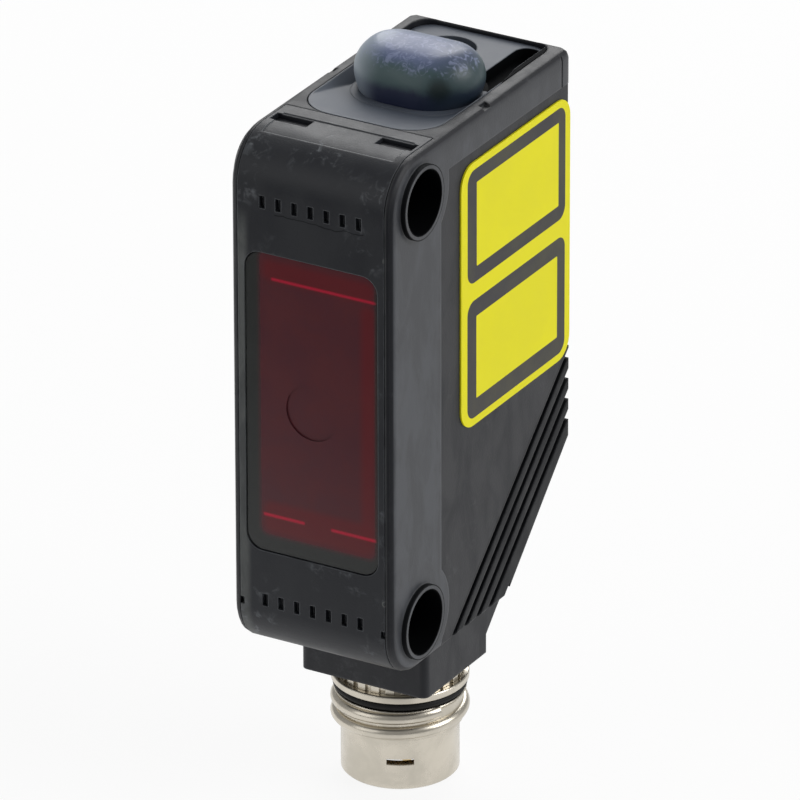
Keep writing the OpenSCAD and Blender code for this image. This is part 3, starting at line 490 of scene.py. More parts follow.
# %% Mix the plastics
case_black = moulded_plastic("case_black", (0.0048, 0.0058, 0.0098), (0.10, 0.105, 0.11), 0.46,
                             specular=0.46, edge=0.18 * MM, clouded=(0.066, 0.070, 0.079), cloud_scale=520.0,
                             upright=0.4, spread=0.1, cloud_on=raised_border, shade=case_shade)
cover_black = moulded_plastic("cover_black", (0.0065, 0.0080, 0.0135), (0.19, 0.205, 0.222), 0.44, scuff=0.9,
                              specular=0.42, edge=0.1 * MM, clouded=(0.088, 0.094, 0.092), cloud_scale=420.0,
                              upright=0.45, cloud_on=left_edge_highlight_and_pin_marks, shade=weld_line)
panel_black = moulded_plastic("panel_black", (0.066, 0.078, 0.100), (0.14, 0.15, 0.16), 0.47,
                              grain=0.002 * MM, scuff=0.1, cloudiness=0.1, specular=0.42, shade=panel_slot_shade)
frame_black = moulded_plastic("frame_black", (0.012, 0.012, 0.013), (0.05, 0.05, 0.05), 0.6, scuff=0.0)
button_black = moulded_plastic("button_black", (0.018, 0.018, 0.020), (0.08, 0.08, 0.08), 0.5, scuff=0.1)
insert_black = moulded_plastic("insert_black", (0.014, 0.014, 0.014), (0.06, 0.06, 0.06), 0.55, scuff=0.0)
chip_black = moulded_plastic("chip_black", (0.018, 0.019, 0.021), (0.05, 0.05, 0.05), 0.62, scuff=0.0)
seal_rubber = moulded_plastic("seal_rubber", (0.006, 0.006, 0.006), (0.02, 0.02, 0.02), 0.6, scuff=0.1,
                              specular=0.3)
header_ivory = moulded_plastic("header_ivory", (0.72, 0.67, 0.55), (0.8, 0.76, 0.66), 0.5, scuff=0.1)
print("plastics:", [m.name for m in bpy.data.materials if m.name.endswith(("_black", "_rubber", "_ivory"))])

# %% [markdown]
# ## Metals
# The plug is nickel plated and turned, so fine rings run round it. The rings are a wave in height that
# feeds a bump, and the plating's colour drifts slightly from warm to cool. The same function serves the
# tinned cans, the brass barrel and the gold pins.

# %% Plated and turned metal
RING_SCALE, GRAIN_SHARE, CLOUD_ROUGHNESS = 450.0, 0.25, 0.08


def plated_metal(name, colour, shade, roughness, rings=0.0, axis="Z"):
    """Metal with cloudy plating and, if rings is above 0, fine turned rings along one axis."""
    material, tree, shader = start_material(name)
    plating = use_group(tree, mould_grain, {"Grain Scale": 5000.0, "Cloud Scale": 420.0})
    edges = use_group(tree, rubbed_edges, {"Edge Radius": 0.08 * MM})
    height = times(tree, plating["Height"], GRAIN_SHARE)
    if rings:
        bands = {"Vector": object_place(tree), "Scale": RING_SCALE, "Distortion": 1.5, "Detail": 2.0}
        wave = add(tree, "ShaderNodeTexWave", bands, wave_type="BANDS", bands_direction=axis)
        height = scaled(tree, wave.outputs["Fac"], rings, height)
    set_up(tree, shader, {
        "Base Color": blend_colours(tree, plating["Cloud"], colour, shade), "Metallic": 1.0,
        "Roughness": scaled(tree, plating["Cloud"], CLOUD_ROUGHNESS, roughness),
        "Normal": bump(tree, height, 0.004 * MM, Normal=edges["Normal"])})
    return material


nickel = plated_metal("nickel", (0.68, 0.63, 0.54), (0.59, 0.55, 0.47), 0.24, rings=0.7)
tin_plate = plated_metal("tin_plate", (0.66, 0.67, 0.68), (0.55, 0.56, 0.58), 0.32)
turned_brass = plated_metal("turned_brass", (0.72, 0.52, 0.24), (0.60, 0.42, 0.19), 0.28, rings=0.6, axis="Y")
gold_plating = plated_metal("gold_plating", (0.88, 0.64, 0.27), (0.78, 0.55, 0.22), 0.2)
print("metals:", [m.name for m in (nickel, tin_plate, turned_brass, gold_plating)])

# %% [markdown]
# ## Lenses, lamps and boards
# The small parts inside are smooth: the red lens, the glass in the laser's mouth, the lamps under the dome
# and the lacquered boards. Their colour deepens in soft clouds, as in real castings. A clear share comes
# from alpha, which adds no noise, because light passes straight through it.

# %% Clear and lacquered plastics
def polished_plastic(name, colour, deep, roughness, alpha=1.0, coat=0.0):
    """Smooth plastic whose colour deepens in clouds, clear by 1 minus alpha."""
    material, tree, shader = start_material(name)
    cloud = use_group(tree, mould_grain, {"Grain Scale": 3000.0, "Cloud Scale": 190.0})["Cloud"]
    set_up(tree, shader, {"Base Color": blend_colours(tree, cloud, colour, deep), "Alpha": alpha,
                          "Coat Weight": coat, "Roughness": scaled(tree, cloud, 0.04, roughness)})
    return material


lens_red = polished_plastic("lens_red", (0.16, 0.012, 0.02), (0.1, 0.01, 0.015), 0.15)
lens_glass = polished_plastic("lens_glass", (0.7, 0.75, 0.78), (0.62, 0.68, 0.72), 0.05, alpha=0.45)
lamp_green = polished_plastic("lamp_green", (0.05, 0.45, 0.12), (0.03, 0.3, 0.08), 0.2)
lamp_orange = polished_plastic("lamp_orange", (0.8, 0.25, 0.03), (0.6, 0.17, 0.02), 0.2)
board_green = polished_plastic("board_green", (0.015, 0.12, 0.045), (0.01, 0.085, 0.03), 0.3, coat=0.4)
flex_amber = polished_plastic("flex_amber", (0.45, 0.17, 0.03), (0.36, 0.12, 0.02), 0.3)
print("inner plastics:", [m.name for m in (lens_red, lens_glass, lamp_green, lamp_orange, board_green,
                                           flex_amber)])

# %% [markdown]
# ## The window
# The window is a dark red filter: its own polished skin mirrors the room, and only the brightest parts of the
# optics show through, as red lines where the big lens ends and paler bands beyond them. They are fields drawn
# in the pane, shifted a little to the right and up as they appear there. Round them the pane is printed
# dark, where it is stuck to the cover.

# %% The pane's colour
ZONE = (0.33, 0.55, 3.67, 8.60, 0.5)
RED_LINES = ((0.78, 7.55, 3.31, 0.075, 0.07), (-1.82, -6.80, 1.30, 0.085, 0.08),
             (2.62, -6.80, 1.45, 0.085, 0.08))
WARM_BANDS = ((0.4, 8.05, 3.5, 0.62, 0.5), (0.4, -6.9, 3.5, 0.95, 0.6), (3.55, 0.0, 0.45, 7.2, 0.4))
LINE_RED, WARM_RED, BORDER_GREY = (0.56, 0.008, 0.04), (0.132, 0.010, 0.014), (0.029, 0.031, 0.030)

pane_red, tree, shader = start_material("pane_red")
axes = object_axes(tree)
murk = use_group(tree, mould_grain, {"Cloud Scale": 330.0})["Cloud"]
glass = blend_colours(tree, murk, (0.083, 0.019, 0.026), (0.095, 0.018, 0.023))
for places, soft, share, tone in ((WARM_BANDS, 0.3, 0.75, WARM_RED), (RED_LINES, 0.08, 0.8, LINE_RED)):
    for place in places:
        field = field_at(tree, axes["X"], axes["Z"], place, soft)
        glass = blend_colours(tree, times(tree, field, share), glass, tone)
glass = blend_colours(tree, field_at(tree, axes["X"], axes["Z"], ZONE, 0.18), BORDER_GREY, glass)
set_up(tree, shader, {"Base Color": glass, "Roughness": ramp(tree, murk, 0.0, 1.0, 0.16, 0.2), "Alpha": 0.93})
print("fields on the pane:", len(WARM_BANDS) + len(RED_LINES) + 1)

# %% [markdown]
# ## The milky dome's colour
# The dome is milky, so light gets lost in it, and its colour is painted in soft clouds by height, with light
# and shade painted in: navy where it dips into the panel, its own tone deepened by painted shade, grey green
# over the light guide, and pale blue where it faces the sky, a painted reflection of the sky, paler still on
# the far side of the ridge as a painted sheen. Its left end is paler, a painted highlight, and its right end
# darker, painted shade. A dark spot shows where a lamp stands under it. Fine freckles are scratches on the
# ridge, with pale glints painted on them.

# %% Paint the dome
DOME_FOOT, DOME_RISE = 14.85, 2.86
SWIRL_SHARE, SPOT_WAVER = 0.26, 0.6 * MM
LAMP_SPOT = Vector((2.45, 6.75, 16.1)) * MM
NAVY, GREY_GREEN, SKY_REFLECTION, FAR_SHEEN = ((0.011, 0.017, 0.050), (0.050, 0.096, 0.102), (0.10, 0.13, 0.24),
                                        (0.150, 0.190, 0.255))
RIGHT_END_SHADE, LEFT_END_HIGHLIGHT, LAMP_DARK, SCRATCH_GLINT = ((0.018, 0.032, 0.040), (0.38, 0.44, 0.50), (0.004, 0.012, 0.012),
                                        (0.30, 0.34, 0.52))

milky_dome, tree, shader = start_material("milky_dome")
where, axes = object_place(tree), object_axes(tree)
swirl = noise(tree, where, 520.0, 5.0, 0.65, 0.8)
freckles = noise(tree, where, 1900.0, 3.0, distortion=2.0)
rise = math_node(tree, "DIVIDE", less(tree, axes["Z"], DOME_FOOT * MM), DOME_RISE * MM)
rise = scaled(tree, less(tree, swirl, 0.5), SWIRL_SHARE, rise)
from_lamp = scaled(tree, swirl, SPOT_WAVER, vector_math(tree, "DISTANCE", where, LAMP_SPOT)["Value"])
glint_zone = times(tree, ramp(tree, rise, 0.62, 0.80), ramp(tree, axes["Y"], 11.2 * MM, 9.4 * MM, 0.1, 0.46))
# Painted light: the pale blue and the far sheen are painted reflections of the sky, the pale left end a
# painted highlight, the dark right end and the navy foot painted shade, and the freckles' pale tone painted
# glints.
dome_colour = NAVY
for mask, tone in (
        (ramp(tree, rise, 0.28, 0.50), GREY_GREEN),
        (ramp(tree, rise, 0.70, 0.94), SKY_REFLECTION),
        (times(tree, ramp(tree, axes["Y"], 9.2 * MM, 11.0 * MM), ramp(tree, rise, 0.80, 0.98)), FAR_SHEEN),
        (ramp(tree, axes["X"], 0.6 * MM, 3.4 * MM, to_high=0.62), RIGHT_END_SHADE),
        (ramp(tree, axes["X"], -1.0 * MM, -3.1 * MM, to_high=0.85), LEFT_END_HIGHLIGHT),
        (times(tree, ramp(tree, from_lamp, 1.25 * MM, 0.48 * MM), 0.85), LAMP_DARK),
        (times(tree, ramp(tree, freckles, 0.48, 0.7), glint_zone), SCRATCH_GLINT)):
    dome_colour = blend_colours(tree, mask, dome_colour, tone)
set_up(tree, shader, {"Base Color": dome_colour, "Roughness": ramp(tree, swirl, 0.3, 0.7, 0.34, 0.5),
                      "Normal": bump(tree, freckles, 0.012 * MM, 0.6)})
print("dome from", DOME_FOOT, "to", DOME_FOOT + DOME_RISE, "mm")

# %% [markdown]
# ## The label
# The sticker on the side is printed film: yellow with two dark frames, one above the other. Its fields are
# drawn by the round-cornered field group, in millimetres on the solid's own place, so they can't slide.

# %% Print the label
FILM_YELLOW, INK_GREY, DUSTY_FILM = (0.80, 0.74, 0.006), (0.050, 0.048, 0.050), (0.5, 0.48, 0.2)
FIELDS = (
    (INK_GREY, (10.76, 8.85, 5.49, 3.40, 0.75)), (FILM_YELLOW, (10.885, 8.88, 4.595, 2.53, 0.08)),
    (INK_GREY, (10.74, 0.815, 5.49, 3.565, 0.75)), (FILM_YELLOW, (10.805, 0.845, 4.555, 2.495, 0.08)),
)

label_film, tree, shader = start_material("label_film")
axes = object_axes(tree)
paint = FILM_YELLOW
for ink, place in FIELDS:
    paint = blend_colours(tree, field_at(tree, axes["Y"], axes["Z"], place), paint, ink)
film = use_group(tree, mould_grain, {"Grain Scale": 7000.0})
set_up(tree, shader, {
    "Base Color": blend_colours(tree, times(tree, film["Cloud"], 0.06), paint, DUSTY_FILM),
    "Roughness": ramp(tree, film["Cloud"], 0.0, 1.0, 0.42, 0.5), "Specular IOR Level": 0.12,
    "Normal": bump(tree, film["Height"], 0.003 * MM)})
print("label fields:", len(FIELDS))

# %% [markdown]
# ## Finishes for the solids
# A solid whose shape is right keeps its mesh and only gets a finish. The table names each one.

# %% Give each solid its finish
FINISHES = {name: finish for finish, names in (
    (case_black, "housing"), (cover_black, "front_cover"), (panel_black, "top_panel"), (pane_red, "window"),
    (frame_black, "optic_frame"), (lens_red, "receiver_lens"), (lens_glass, "collimator_lens"),
    (turned_brass, "laser_barrel laser_retainer"), (chip_black, "receiver_chip processor_chip"),
    (tin_plate, "receiver_shield button_switch"), (board_green, "sensor_board main_board display_board"),
    (header_ivory, "board_header"), (lamp_green, "stability_lamp"), (lamp_orange, "output_lamp"),
    (seal_rubber, "window_gasket panel_gasket button_seal coupling_o_ring shell_seal"),
    (milky_dome, "indicator_lens"), (button_black, "set_button"), (nickel, "connector_shell"),
    (insert_black, "connector_insert"), (flex_amber, "connector_flex"), (label_film, "side_label"),
    (gold_plating, "laser_diode contact_pin_1 contact_pin_2 contact_pin_3 contact_pin_4"),
) for name in names.split()}
for name, finish in FINISHES.items():
    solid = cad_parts[name]
    if not solid.material_slots:
        solid.data.materials.append(finish)
    for slot in solid.material_slots:
        slot.material = finish
print("finished solids:", len(FINISHES), "left out:", sorted(set(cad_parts) - set(FINISHES)))

# %% [markdown]
# ## Smoothing the moulded solids
# The solids carry their round corners as narrow flat strips, which show as bands in a gloss. A copy of each
# moulded piece is merged at its seams and gets a normal of its own at every corner of every face: the mean of
# the flats that meet there at less than 32 degrees, weighted by the area of each whole flat. So a broad flat
# stays flat up to its border, and the strips of a round corner melt into one. The copy takes the solid's
# place and keeps its shape.

# %% Whole flats and their areas
SAME_FLAT = math.cos(math.radians(0.4))
SMOOTH_BELOW = math.cos(math.radians(32.0))


def find_flats(shape):
    """Numbers the flats of a mesh. Returns the flat of each face, and each flat's normal and area."""
    flat_of, flats = {}, []
    for face in shape.faces:
        if face.index in flat_of:
            continue
        flat_of[face.index] = len(flats)
        area, queue = 0.0, [face]
        while queue:
            current = queue.pop()
            area += current.calc_area()
            for edge in current.edges:
                for other in edge.link_faces:
                    if other.index not in flat_of and other.normal.dot(face.normal) > SAME_FLAT:
                        flat_of[other.index] = len(flats)
                        queue.append(other)
        flats.append((face.normal.copy(), area))
    return flat_of, flats


def corner_normals(shape):
    """One normal for each corner of each face, in the mesh's own order."""
    flat_of, flats = find_flats(shape)
    normals = []
    for face in shape.faces:
        for corner in face.loops:
            total = Vector()
            for flat in sorted({flat_of[other.index] for other in corner.vert.link_faces}):
                direction, area = flats[flat]
                if direction.dot(face.normal) > SMOOTH_BELOW:
                    total += direction * area
            normals.append(total.normalized() if total.length > 0.0 else face.normal.copy())
    return normals


# %% Smooth copies
def keep_mesh(shape, name, finish):
    """Turns a bmesh into a mesh with one finish, all smooth."""
    mesh = bpy.data.meshes.new(name)
    shape.to_mesh(mesh)
    shape.free()
    mesh.materials.append(finish)
    mesh.polygons.foreach_set("material_index", [0] * len(mesh.polygons))
    mesh.polygons.foreach_set("use_smooth", [True] * len(mesh.polygons))
    return mesh


def smooth_copy(node, body):
    """Replaces a solid by a copy of its own mesh with smooth normals."""
    shape = bmesh.new()
    shape.from_mesh(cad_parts[node].data)
    bmesh.ops.remove_doubles(shape, verts=shape.verts, dist=1e-7)
    bmesh.ops.dissolve_degenerate(shape, edges=shape.edges, dist=1e-8)
    shape.normal_update()
    shape.faces.index_update()
    normals = corner_normals(shape)
    mesh = keep_mesh(shape, node + "_skin", FINISHES[node])
    mesh.normals_split_custom_set(normals)
    piece = put_in_scene(node + "_skin", mesh)
    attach(piece, body)
    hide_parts(node)
    print(node, "faces:", len(mesh.polygons))


for node, slot in (("housing", "black_case"), ("front_cover", "black_cover"), ("top_panel", "gloss_panel")):
    smooth_copy(node, "case")

# %% [markdown]
# ## The floor and the light
# A product photograph stands its object on white paper under large soft lamps. The floor here is a pale sheet
# that reads as white to the camera and still takes a soft shadow. In reflections it glows white round the
# sensor, and the glow is painted to fall off in front of it, as where a table ends in a dim room: that
# painted reflection is what leaves the front dark. The large lamp behind and above makes the pale sheen on
# top, and the one at the right lifts the labelled side.

# %% Pale floor
PAPER_WHITE, PAPER_ROUGHNESS, WHITE_SHARE = (0.86, 0.86, 0.86), 0.8, 0.88
MIRROR_NEAR, MIRROR_FAR = (9.0 * MM, 0.95), (44.0 * MM, 0.05)
FRONT_WAY = (0.5, -0.87, 0.0)


def white_to_the_eye(tree, surface, share, mirrored_glow):
    """Mixes a plain white glow into surface for what is seen directly, and in reflections a glow whose
    strength is given by the mirrored mask: a painted reflection.
    """
    path = add(tree, "ShaderNodeLightPath").outputs
    seen = highest(tree, path["Is Camera Ray"], path["Is Glossy Ray"], path["Is Transmission Ray"])
    level = scaled(tree, path["Is Glossy Ray"], less(tree, mirrored_glow, 1.0), 1.0)
    white = add(tree, "ShaderNodeEmission", {"Color": (1.0, 1.0, 1.0), "Strength": level}).outputs[0]
    return add(tree, "ShaderNodeMixShader", {0: times(tree, seen, share), 1: surface, 2: white}).outputs[0]


def in_front(tree):
    """How far a point of the floor lies in front of the sensor and to its right, in metres."""
    away = vector_math(tree, "SUBTRACT", object_place(tree), AIM)["Vector"]
    return vector_math(tree, "DOT_PRODUCT", away, FRONT_WAY)["Value"]


floor_z = cad_low.z - 0.05 * MM
sheet = bmesh.new()
bmesh.ops.create_grid(sheet, x_segments=1, y_segments=1, size=3.0, matrix=Matrix.Translation((0, 0, floor_z)))
floor_mesh = bpy.data.meshes.new("floor")
sheet.to_mesh(floor_mesh)
sheet.free()
floor = put_in_scene("floor", floor_mesh)

paper, tree, shader = start_material("paper")
set_up(tree, shader, {"Base Color": PAPER_WHITE, "Roughness": PAPER_ROUGHNESS})
# The glow seen in reflections is painted: full near the sensor and faint in front of it.
mirrored_glow = ramp(tree, in_front(tree), MIRROR_NEAR[0], MIRROR_FAR[0], MIRROR_NEAR[1], MIRROR_FAR[1])
set_up(tree, tree.nodes["Material Output"],
       {"Surface": white_to_the_eye(tree, shader.outputs[0], WHITE_SHARE, mirrored_glow)})
floor_mesh.materials.append(paper)
print("floor at", round(floor_z, 5))

# %% Soft lamps and sky
SKY_LEVEL, SKY_SEEN = 0.36, 0.6


def soft_lamp(name, offset, size, watts):
    """A square lamp at an offset from the sensor, turned towards it."""
    lamp = put_in_scene(name, bpy.data.lights.new(name, "AREA"))
    lamp.data.shape = "SQUARE"
    lamp.data.size = size
    lamp.data.energy = watts
    spot = Vector(offset)
    lamp.matrix_world = Matrix.Translation(AIM + spot) @ spot.to_track_quat("Z", "Y").to_matrix().to_4x4()


soft_lamp("lamp_behind", (-0.18, 0.42, 0.34), 0.42, 1.9)
soft_lamp("lamp_right", (0.46, 0.12, 0.30), 0.34, 1.5)
soft_lamp("lamp_front_fill", (-0.30, -0.50, 0.24), 0.45, 0.5)

sky = bpy.data.worlds.new("sky")
scene.world = sky
sky.use_nodes = True
tree = sky.node_tree
path = add(tree, "ShaderNodeLightPath").outputs
seen = highest(tree, path["Is Camera Ray"], path["Is Transmission Ray"])
set_up(tree, tree.nodes["Background"], {"Color": (1.0, 1.0, 1.0),
                                        "Strength": scaled(tree, seen, SKY_SEEN, SKY_LEVEL)})
scene.view_settings.view_transform = "Standard"

# %% [markdown]
# ## Meshes from rings
# The dome and the plug are made of rings stacked one on another: rounded rectangles for the dome, circles
# for the plug. One helper joins the rings with faces. It closes an end with a point in its middle, or joins
# the last ring to the first one.

# %% Stack rings into a closed mesh
def rounded_ring(half_x, half_y, corner, centre, z, steps=14):
    """A rectangle with round corners at height z, as points in metres. Sizes are in millimetres."""
    points = []
    for turn, sign_x, sign_y in ((0, 1, 1), (90, -1, 1), (180, -1, -1), (270, 1, -1)):
        for step in range(steps + 1):
            angle = math.radians(turn + 90 * step / steps)
            points.append(Vector((centre[0] + sign_x * (half_x - corner) + corner * math.cos(angle),
                                  centre[1] + sign_y * (half_y - corner) + corner * math.sin(angle), z)) * MM)
    return points


def round_ring(radius, centre, z, count=96):
    """A circle at height z."""
    turns = [2 * math.pi * i / count for i in range(count)]
    return [Vector((centre[0] + radius * math.cos(turn), centre[1] + radius * math.sin(turn), z)) * MM
            for turn in turns]


def stack_rings(name, rings, finish, body, closed_loop=False, sharp=35.0):
    """Joins rings of equal length into a closed surface, rides it on a body and gives it a finish."""
    shape = bmesh.new()
    rows = [[shape.verts.new(p) for p in ring] for ring in rings]
    pairs = list(zip(rows, rows[1:])) + ([(rows[-1], rows[0])] if closed_loop else [])
    for lower, upper in pairs:
        for i in range(len(lower)):
            j = (i + 1) % len(lower)
            shape.faces.new((lower[i], lower[j], upper[j], upper[i]))
    for end in () if closed_loop else (rows[0], rows[-1]):
        middle = shape.verts.new(sum((v.co for v in end), Vector()) / len(end))
        for i in range(len(end)):
            shape.faces.new((end[i], end[(i + 1) % len(end)], middle))
    bmesh.ops.remove_doubles(shape, verts=shape.verts, dist=1e-8)
    bmesh.ops.recalc_face_normals(shape, faces=shape.faces)
    mesh = keep_mesh(shape, name, finish)
    mesh.set_sharp_from_angle(angle=math.radians(sharp))
    piece = put_in_scene(name, mesh)
    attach(piece, body)
    print(name, "faces:", len(mesh.polygons))
    return piece


# %% [markdown]
# ## The lamp dome
# The dome is one moulding: a hollow cap with a flange that clips under the panel. Seen from above it is a
# capsule with round ends. From the side it swells a little over the panel and closes in a soft ridge. Both
# curves are superellipses, boxier than an ellipse front to back, so one exponent each describes them, and
# rings every few degrees give a smooth skin, which the solid's flat facets can't.

# %% Raise the dome
DOME_CENTRE = (0.0, 8.9)
DOME_HALF = (3.475, 2.74)
DOME_END = 1.066
DOME_SWELL = 0.36
BOXY_ENDS, BOXY_SIDES = 1.8, 2.75
DOME_WALL = 0.7
DOME_ROUND, FOOT_ROUND, RIDGE_HALF = 0.98, 0.9, 0.05
FOOT_GAP, FOOT_TUCK = 0.05, 0.02
HOLE_HALF, HOLE_CORNER = (3.35, 2.95), 2.05
HOLE_CENTRE = (0.0, 8.8)
FLANGE_LIP, FLANGE_T = 0.15, 0.6
UNDER_TURNS = (66, 60, 54, 46, 38, 30, 20, 10, 1)
SKIN_TURNS = (0, 1, 2.5, 5, 8, 12, 16, 21, 26, 32, 38, 44, 50, 56, 62, 68, 73, 78, 82, 85, 87.5, 89)
flange_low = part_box("indicator_lens")[0].z / MM


def dome_ring(turn, inset=0.0, drop=0.0):
    """The dome's outline at one angle of its curve, from 0 at the foot to 90 at the top."""
    flat, rise = max(0.0, math.cos(math.radians(turn))), math.sin(math.radians(turn))
    height = rise ** (2 / BOXY_SIDES)
    half_x = DOME_HALF[0] - DOME_END * (1 - flat ** (2 / BOXY_ENDS)) + DOME_SWELL * math.sin(math.pi * height)
    half_x -= inset
    half_y = max(RIDGE_HALF, DOME_HALF[1] * flat ** (2 / BOXY_SIDES) - inset)
    return rounded_ring(half_x, half_y, min(half_x, half_y) * DOME_ROUND, DOME_CENTRE,
                        DOME_FOOT + DOME_RISE * height - drop)


def foot_ring(wider, z):
    """The outline of the dome's foot, or of its flange, which is wider."""
    half_y = foot_y + wider
    return rounded_ring(foot_x + wider, half_y, half_y * FOOT_ROUND, DOME_CENTRE, z)


foot_x, foot_y = HOLE_HALF[0] - FOOT_GAP, DOME_HALF[1]
under = [dome_ring(turn, DOME_WALL, DOME_WALL) for turn in UNDER_TURNS]
flange = [foot_ring(wider, z) for wider, z in (
    (-DOME_WALL, flange_low), (FLANGE_LIP, flange_low), (FLANGE_LIP, flange_low + FLANGE_T),
    (0.0, flange_low + FLANGE_T), (0.0, DOME_FOOT - FOOT_TUCK))]
skin = [dome_ring(turn) for turn in SKIN_TURNS]
lamp_dome = stack_rings("lamp_dome", under + flange + skin, milky_dome, "case", sharp=50.0)
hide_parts("indicator_lens")
print("dome rings:", len(under + flange + skin))

# %% [markdown]
# ## The panel's lip
# The hole in the panel is a little wider than the dome's foot, and the panel closes round the dome in a thin
# lip, which leaves only a fine line between them. The solid panel stops at the hole, so the lip is a ring of
# its own, of four outlines joined into a loop.

# %% The lip of the panel round the dome
LIP_Z, LIP_WIDTH, LIP_GAP = (14.3, 14.912), 0.19, 0.04

rim_x, rim_y, rim_corner = (half + LIP_WIDTH for half in (*HOLE_HALF, HOLE_CORNER))
rim = [rounded_ring(rim_x, rim_y, rim_corner, HOLE_CENTRE, z) for z in LIP_Z]
bore = [rounded_ring(foot_x, foot_y + LIP_GAP, foot_y * DOME_ROUND, DOME_CENTRE, z) for z in LIP_Z[::-1]]
stack_rings("panel_lip", rim + bore, panel_black, "case", closed_loop=True)

# %% [markdown]
# ## The plug's turned body
# The plug was turned from bar, so its outline is a list of radius and height that goes round the axis. Small
# corner steps in the list stand for the tool's breaks, and catch a thin line of light each. The thread and
# the collar's teeth are left out here and are added as patterns afterwards.

# %% Turn the plug's body
PLUG_Y = 6.55
PLINTH_Z = -18.9
COLLAR_Z = PLINTH_Z - 0.75
RING_Z = COLLAR_Z - 0.45
GROOVE_Z = RING_Z - 0.55
THREAD_END_Z = GROOVE_Z - 1.95
PLUG_END_Z = GROOVE_Z - 5.05
SOCKET_Z = GROOVE_Z - 1.1
SHANK_TOP_Z = PLINTH_Z + 2.7
FACE_Z = PLINTH_Z - 0.01
BORE_R, SHANK_R, NECK_R, COLLAR_R, SEAT_R = 1.9, 2.35, 3.45, 3.9, 2.95
ROOT_R, SLEEVE_R, SOCKET_R = 3.6, 3.35, 2.75
BREAK, TURNED_SHARP = 0.06, 30.0

profile = [
    (BORE_R, SHANK_TOP_Z), (SHANK_R, SHANK_TOP_Z), (SHANK_R, FACE_Z), (NECK_R, FACE_Z), (NECK_R, COLLAR_Z),
    (COLLAR_R - BREAK, COLLAR_Z), (COLLAR_R, COLLAR_Z - BREAK), (COLLAR_R, RING_Z + BREAK),
    (COLLAR_R - BREAK, RING_Z), (SEAT_R, RING_Z), (SEAT_R, GROOVE_Z), (ROOT_R + 0.1, GROOVE_Z),
    (ROOT_R + 0.15, GROOVE_Z - BREAK), (ROOT_R + 0.05, GROOVE_Z - 0.18), (ROOT_R, GROOVE_Z - 0.25),
    (ROOT_R, THREAD_END_Z + 0.12), (SLEEVE_R + 0.02, THREAD_END_Z), (SLEEVE_R, THREAD_END_Z - BREAK),
    (SLEEVE_R, PLUG_END_Z + 0.1), (SLEEVE_R - 0.1, PLUG_END_Z), (SOCKET_R + 0.05, PLUG_END_Z),
    (SOCKET_R, PLUG_END_Z + BREAK), (SOCKET_R, SOCKET_Z), (BORE_R, SOCKET_Z),
]


def turned_piece(name, outline, finish, sharp):
    """A ring-shaped piece round the plug's axis, from points of radius and height."""
    return stack_rings(name, [round_ring(r, (0.0, PLUG_Y), z) for r, z in outline], finish, "case",
                       closed_loop=True, sharp=sharp)


plug_body = turned_piece("plug_body", profile, nickel, TURNED_SHARP)
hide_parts("connector_shell")
print("plug profile points:", len(profile))

# %% [markdown]
# ## The latch window
# A small window is milled through the plug's sleeve. It is cut in the same way here: a block stands where the
# cutter went through, and a Boolean modifier takes it out of the turned body. A copy of the body carries the
# modifier, and only its result is kept, as a plain mesh.

# %% Cut the small latch window in the sleeve
WINDOW_TURN = math.radians(30)
WINDOW_SIZE, WINDOW_ABOVE_END = (1.55, 2.0, 0.35), 1.55
WINDOW_Z = PLUG_END_Z + WINDOW_ABOVE_END + WINDOW_SIZE[2] / 2


def evaluated_mesh(thing):
    """A plain mesh of what an object looks like with its modifiers."""
    bpy.context.view_layer.update()
    return bpy.data.meshes.new_from_object(thing.evaluated_get(bpy.context.evaluated_depsgraph_get()))


cutter_mesh = bpy.data.meshes.new("latch_cutter")
block = bmesh.new()
bmesh.ops.create_cube(block, size=1.0, matrix=Matrix.Diagonal((*(side * MM for side in WINDOW_SIZE), 1.0)))
block.to_mesh(cutter_mesh)
block.free()
cutter = put_in_scene("latch_cutter", cutter_mesh)
cutter.matrix_world = (Matrix.Translation(Vector((0, PLUG_Y, WINDOW_Z)) * MM)
                       @ Matrix.Rotation(WINDOW_TURN, 4, "Z")
                       @ Matrix.Translation(Vector((0, -SLEEVE_R, 0)) * MM))
draft = put_in_scene("plug_draft", plug_body.data.copy())
cut = draft.modifiers.new("cut", "BOOLEAN")
cut.operation, cut.solver, cut.object = "DIFFERENCE", "EXACT", cutter
plug_body.data = evaluated_mesh(draft)
draft.modifiers.remove(cut)
plug_body.data.name = "plug_body"
plug_body.data.set_sharp_from_angle(angle=math.radians(TURNED_SHARP))
bpy.data.objects.remove(draft)
bpy.data.objects.remove(cutter)
print("plug_body faces after the cut:", len(plug_body.data.polygons))

# %% [markdown]
# ## The rubber ring
# A black rubber ring lies in the seat between the collar and the thread, and seals the nut of the cable that
# is screwed on. Rubber has no sharp corners, so its outline bulges, and it is turned from a few points as the
# plug is.

# %% The rubber coupling ring
o_ring = turned_piece("o_ring", (
    (3.0, RING_Z - 0.04), (3.62, RING_Z - 0.04), (3.76, RING_Z - 0.14), (3.80, RING_Z - 0.27),
    (3.76, RING_Z - 0.40), (3.62, GROOVE_Z + 0.04), (3.0, GROOVE_Z + 0.04)), seal_rubber, 60.0)
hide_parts("coupling_o_ring")

# %% [markdown]
# ## Patterns from Geometry Nodes
# The thread and the teeth follow a rule each, so each is a small geometry tree with named inputs. Both end
# alike, so the ending is shared. The tree's result is turned into a plain mesh, because the export keeps no
# instances.

# %% Helpers for geometry trees
INTEGER, MATERIAL, GEOMETRY = "NodeSocketInt", "NodeSocketMaterial", "NodeSocketGeometry"


def plug_pattern(name, inputs):
    """Starts a geometry tree for a pattern round the plug's axis."""
    shared = [("Axis Y", FLOAT, 0.0), ("Finish", MATERIAL, None)]
    return new_tree(name, "GeometryNodeTree", inputs + shared, [("Geometry", GEOMETRY)])


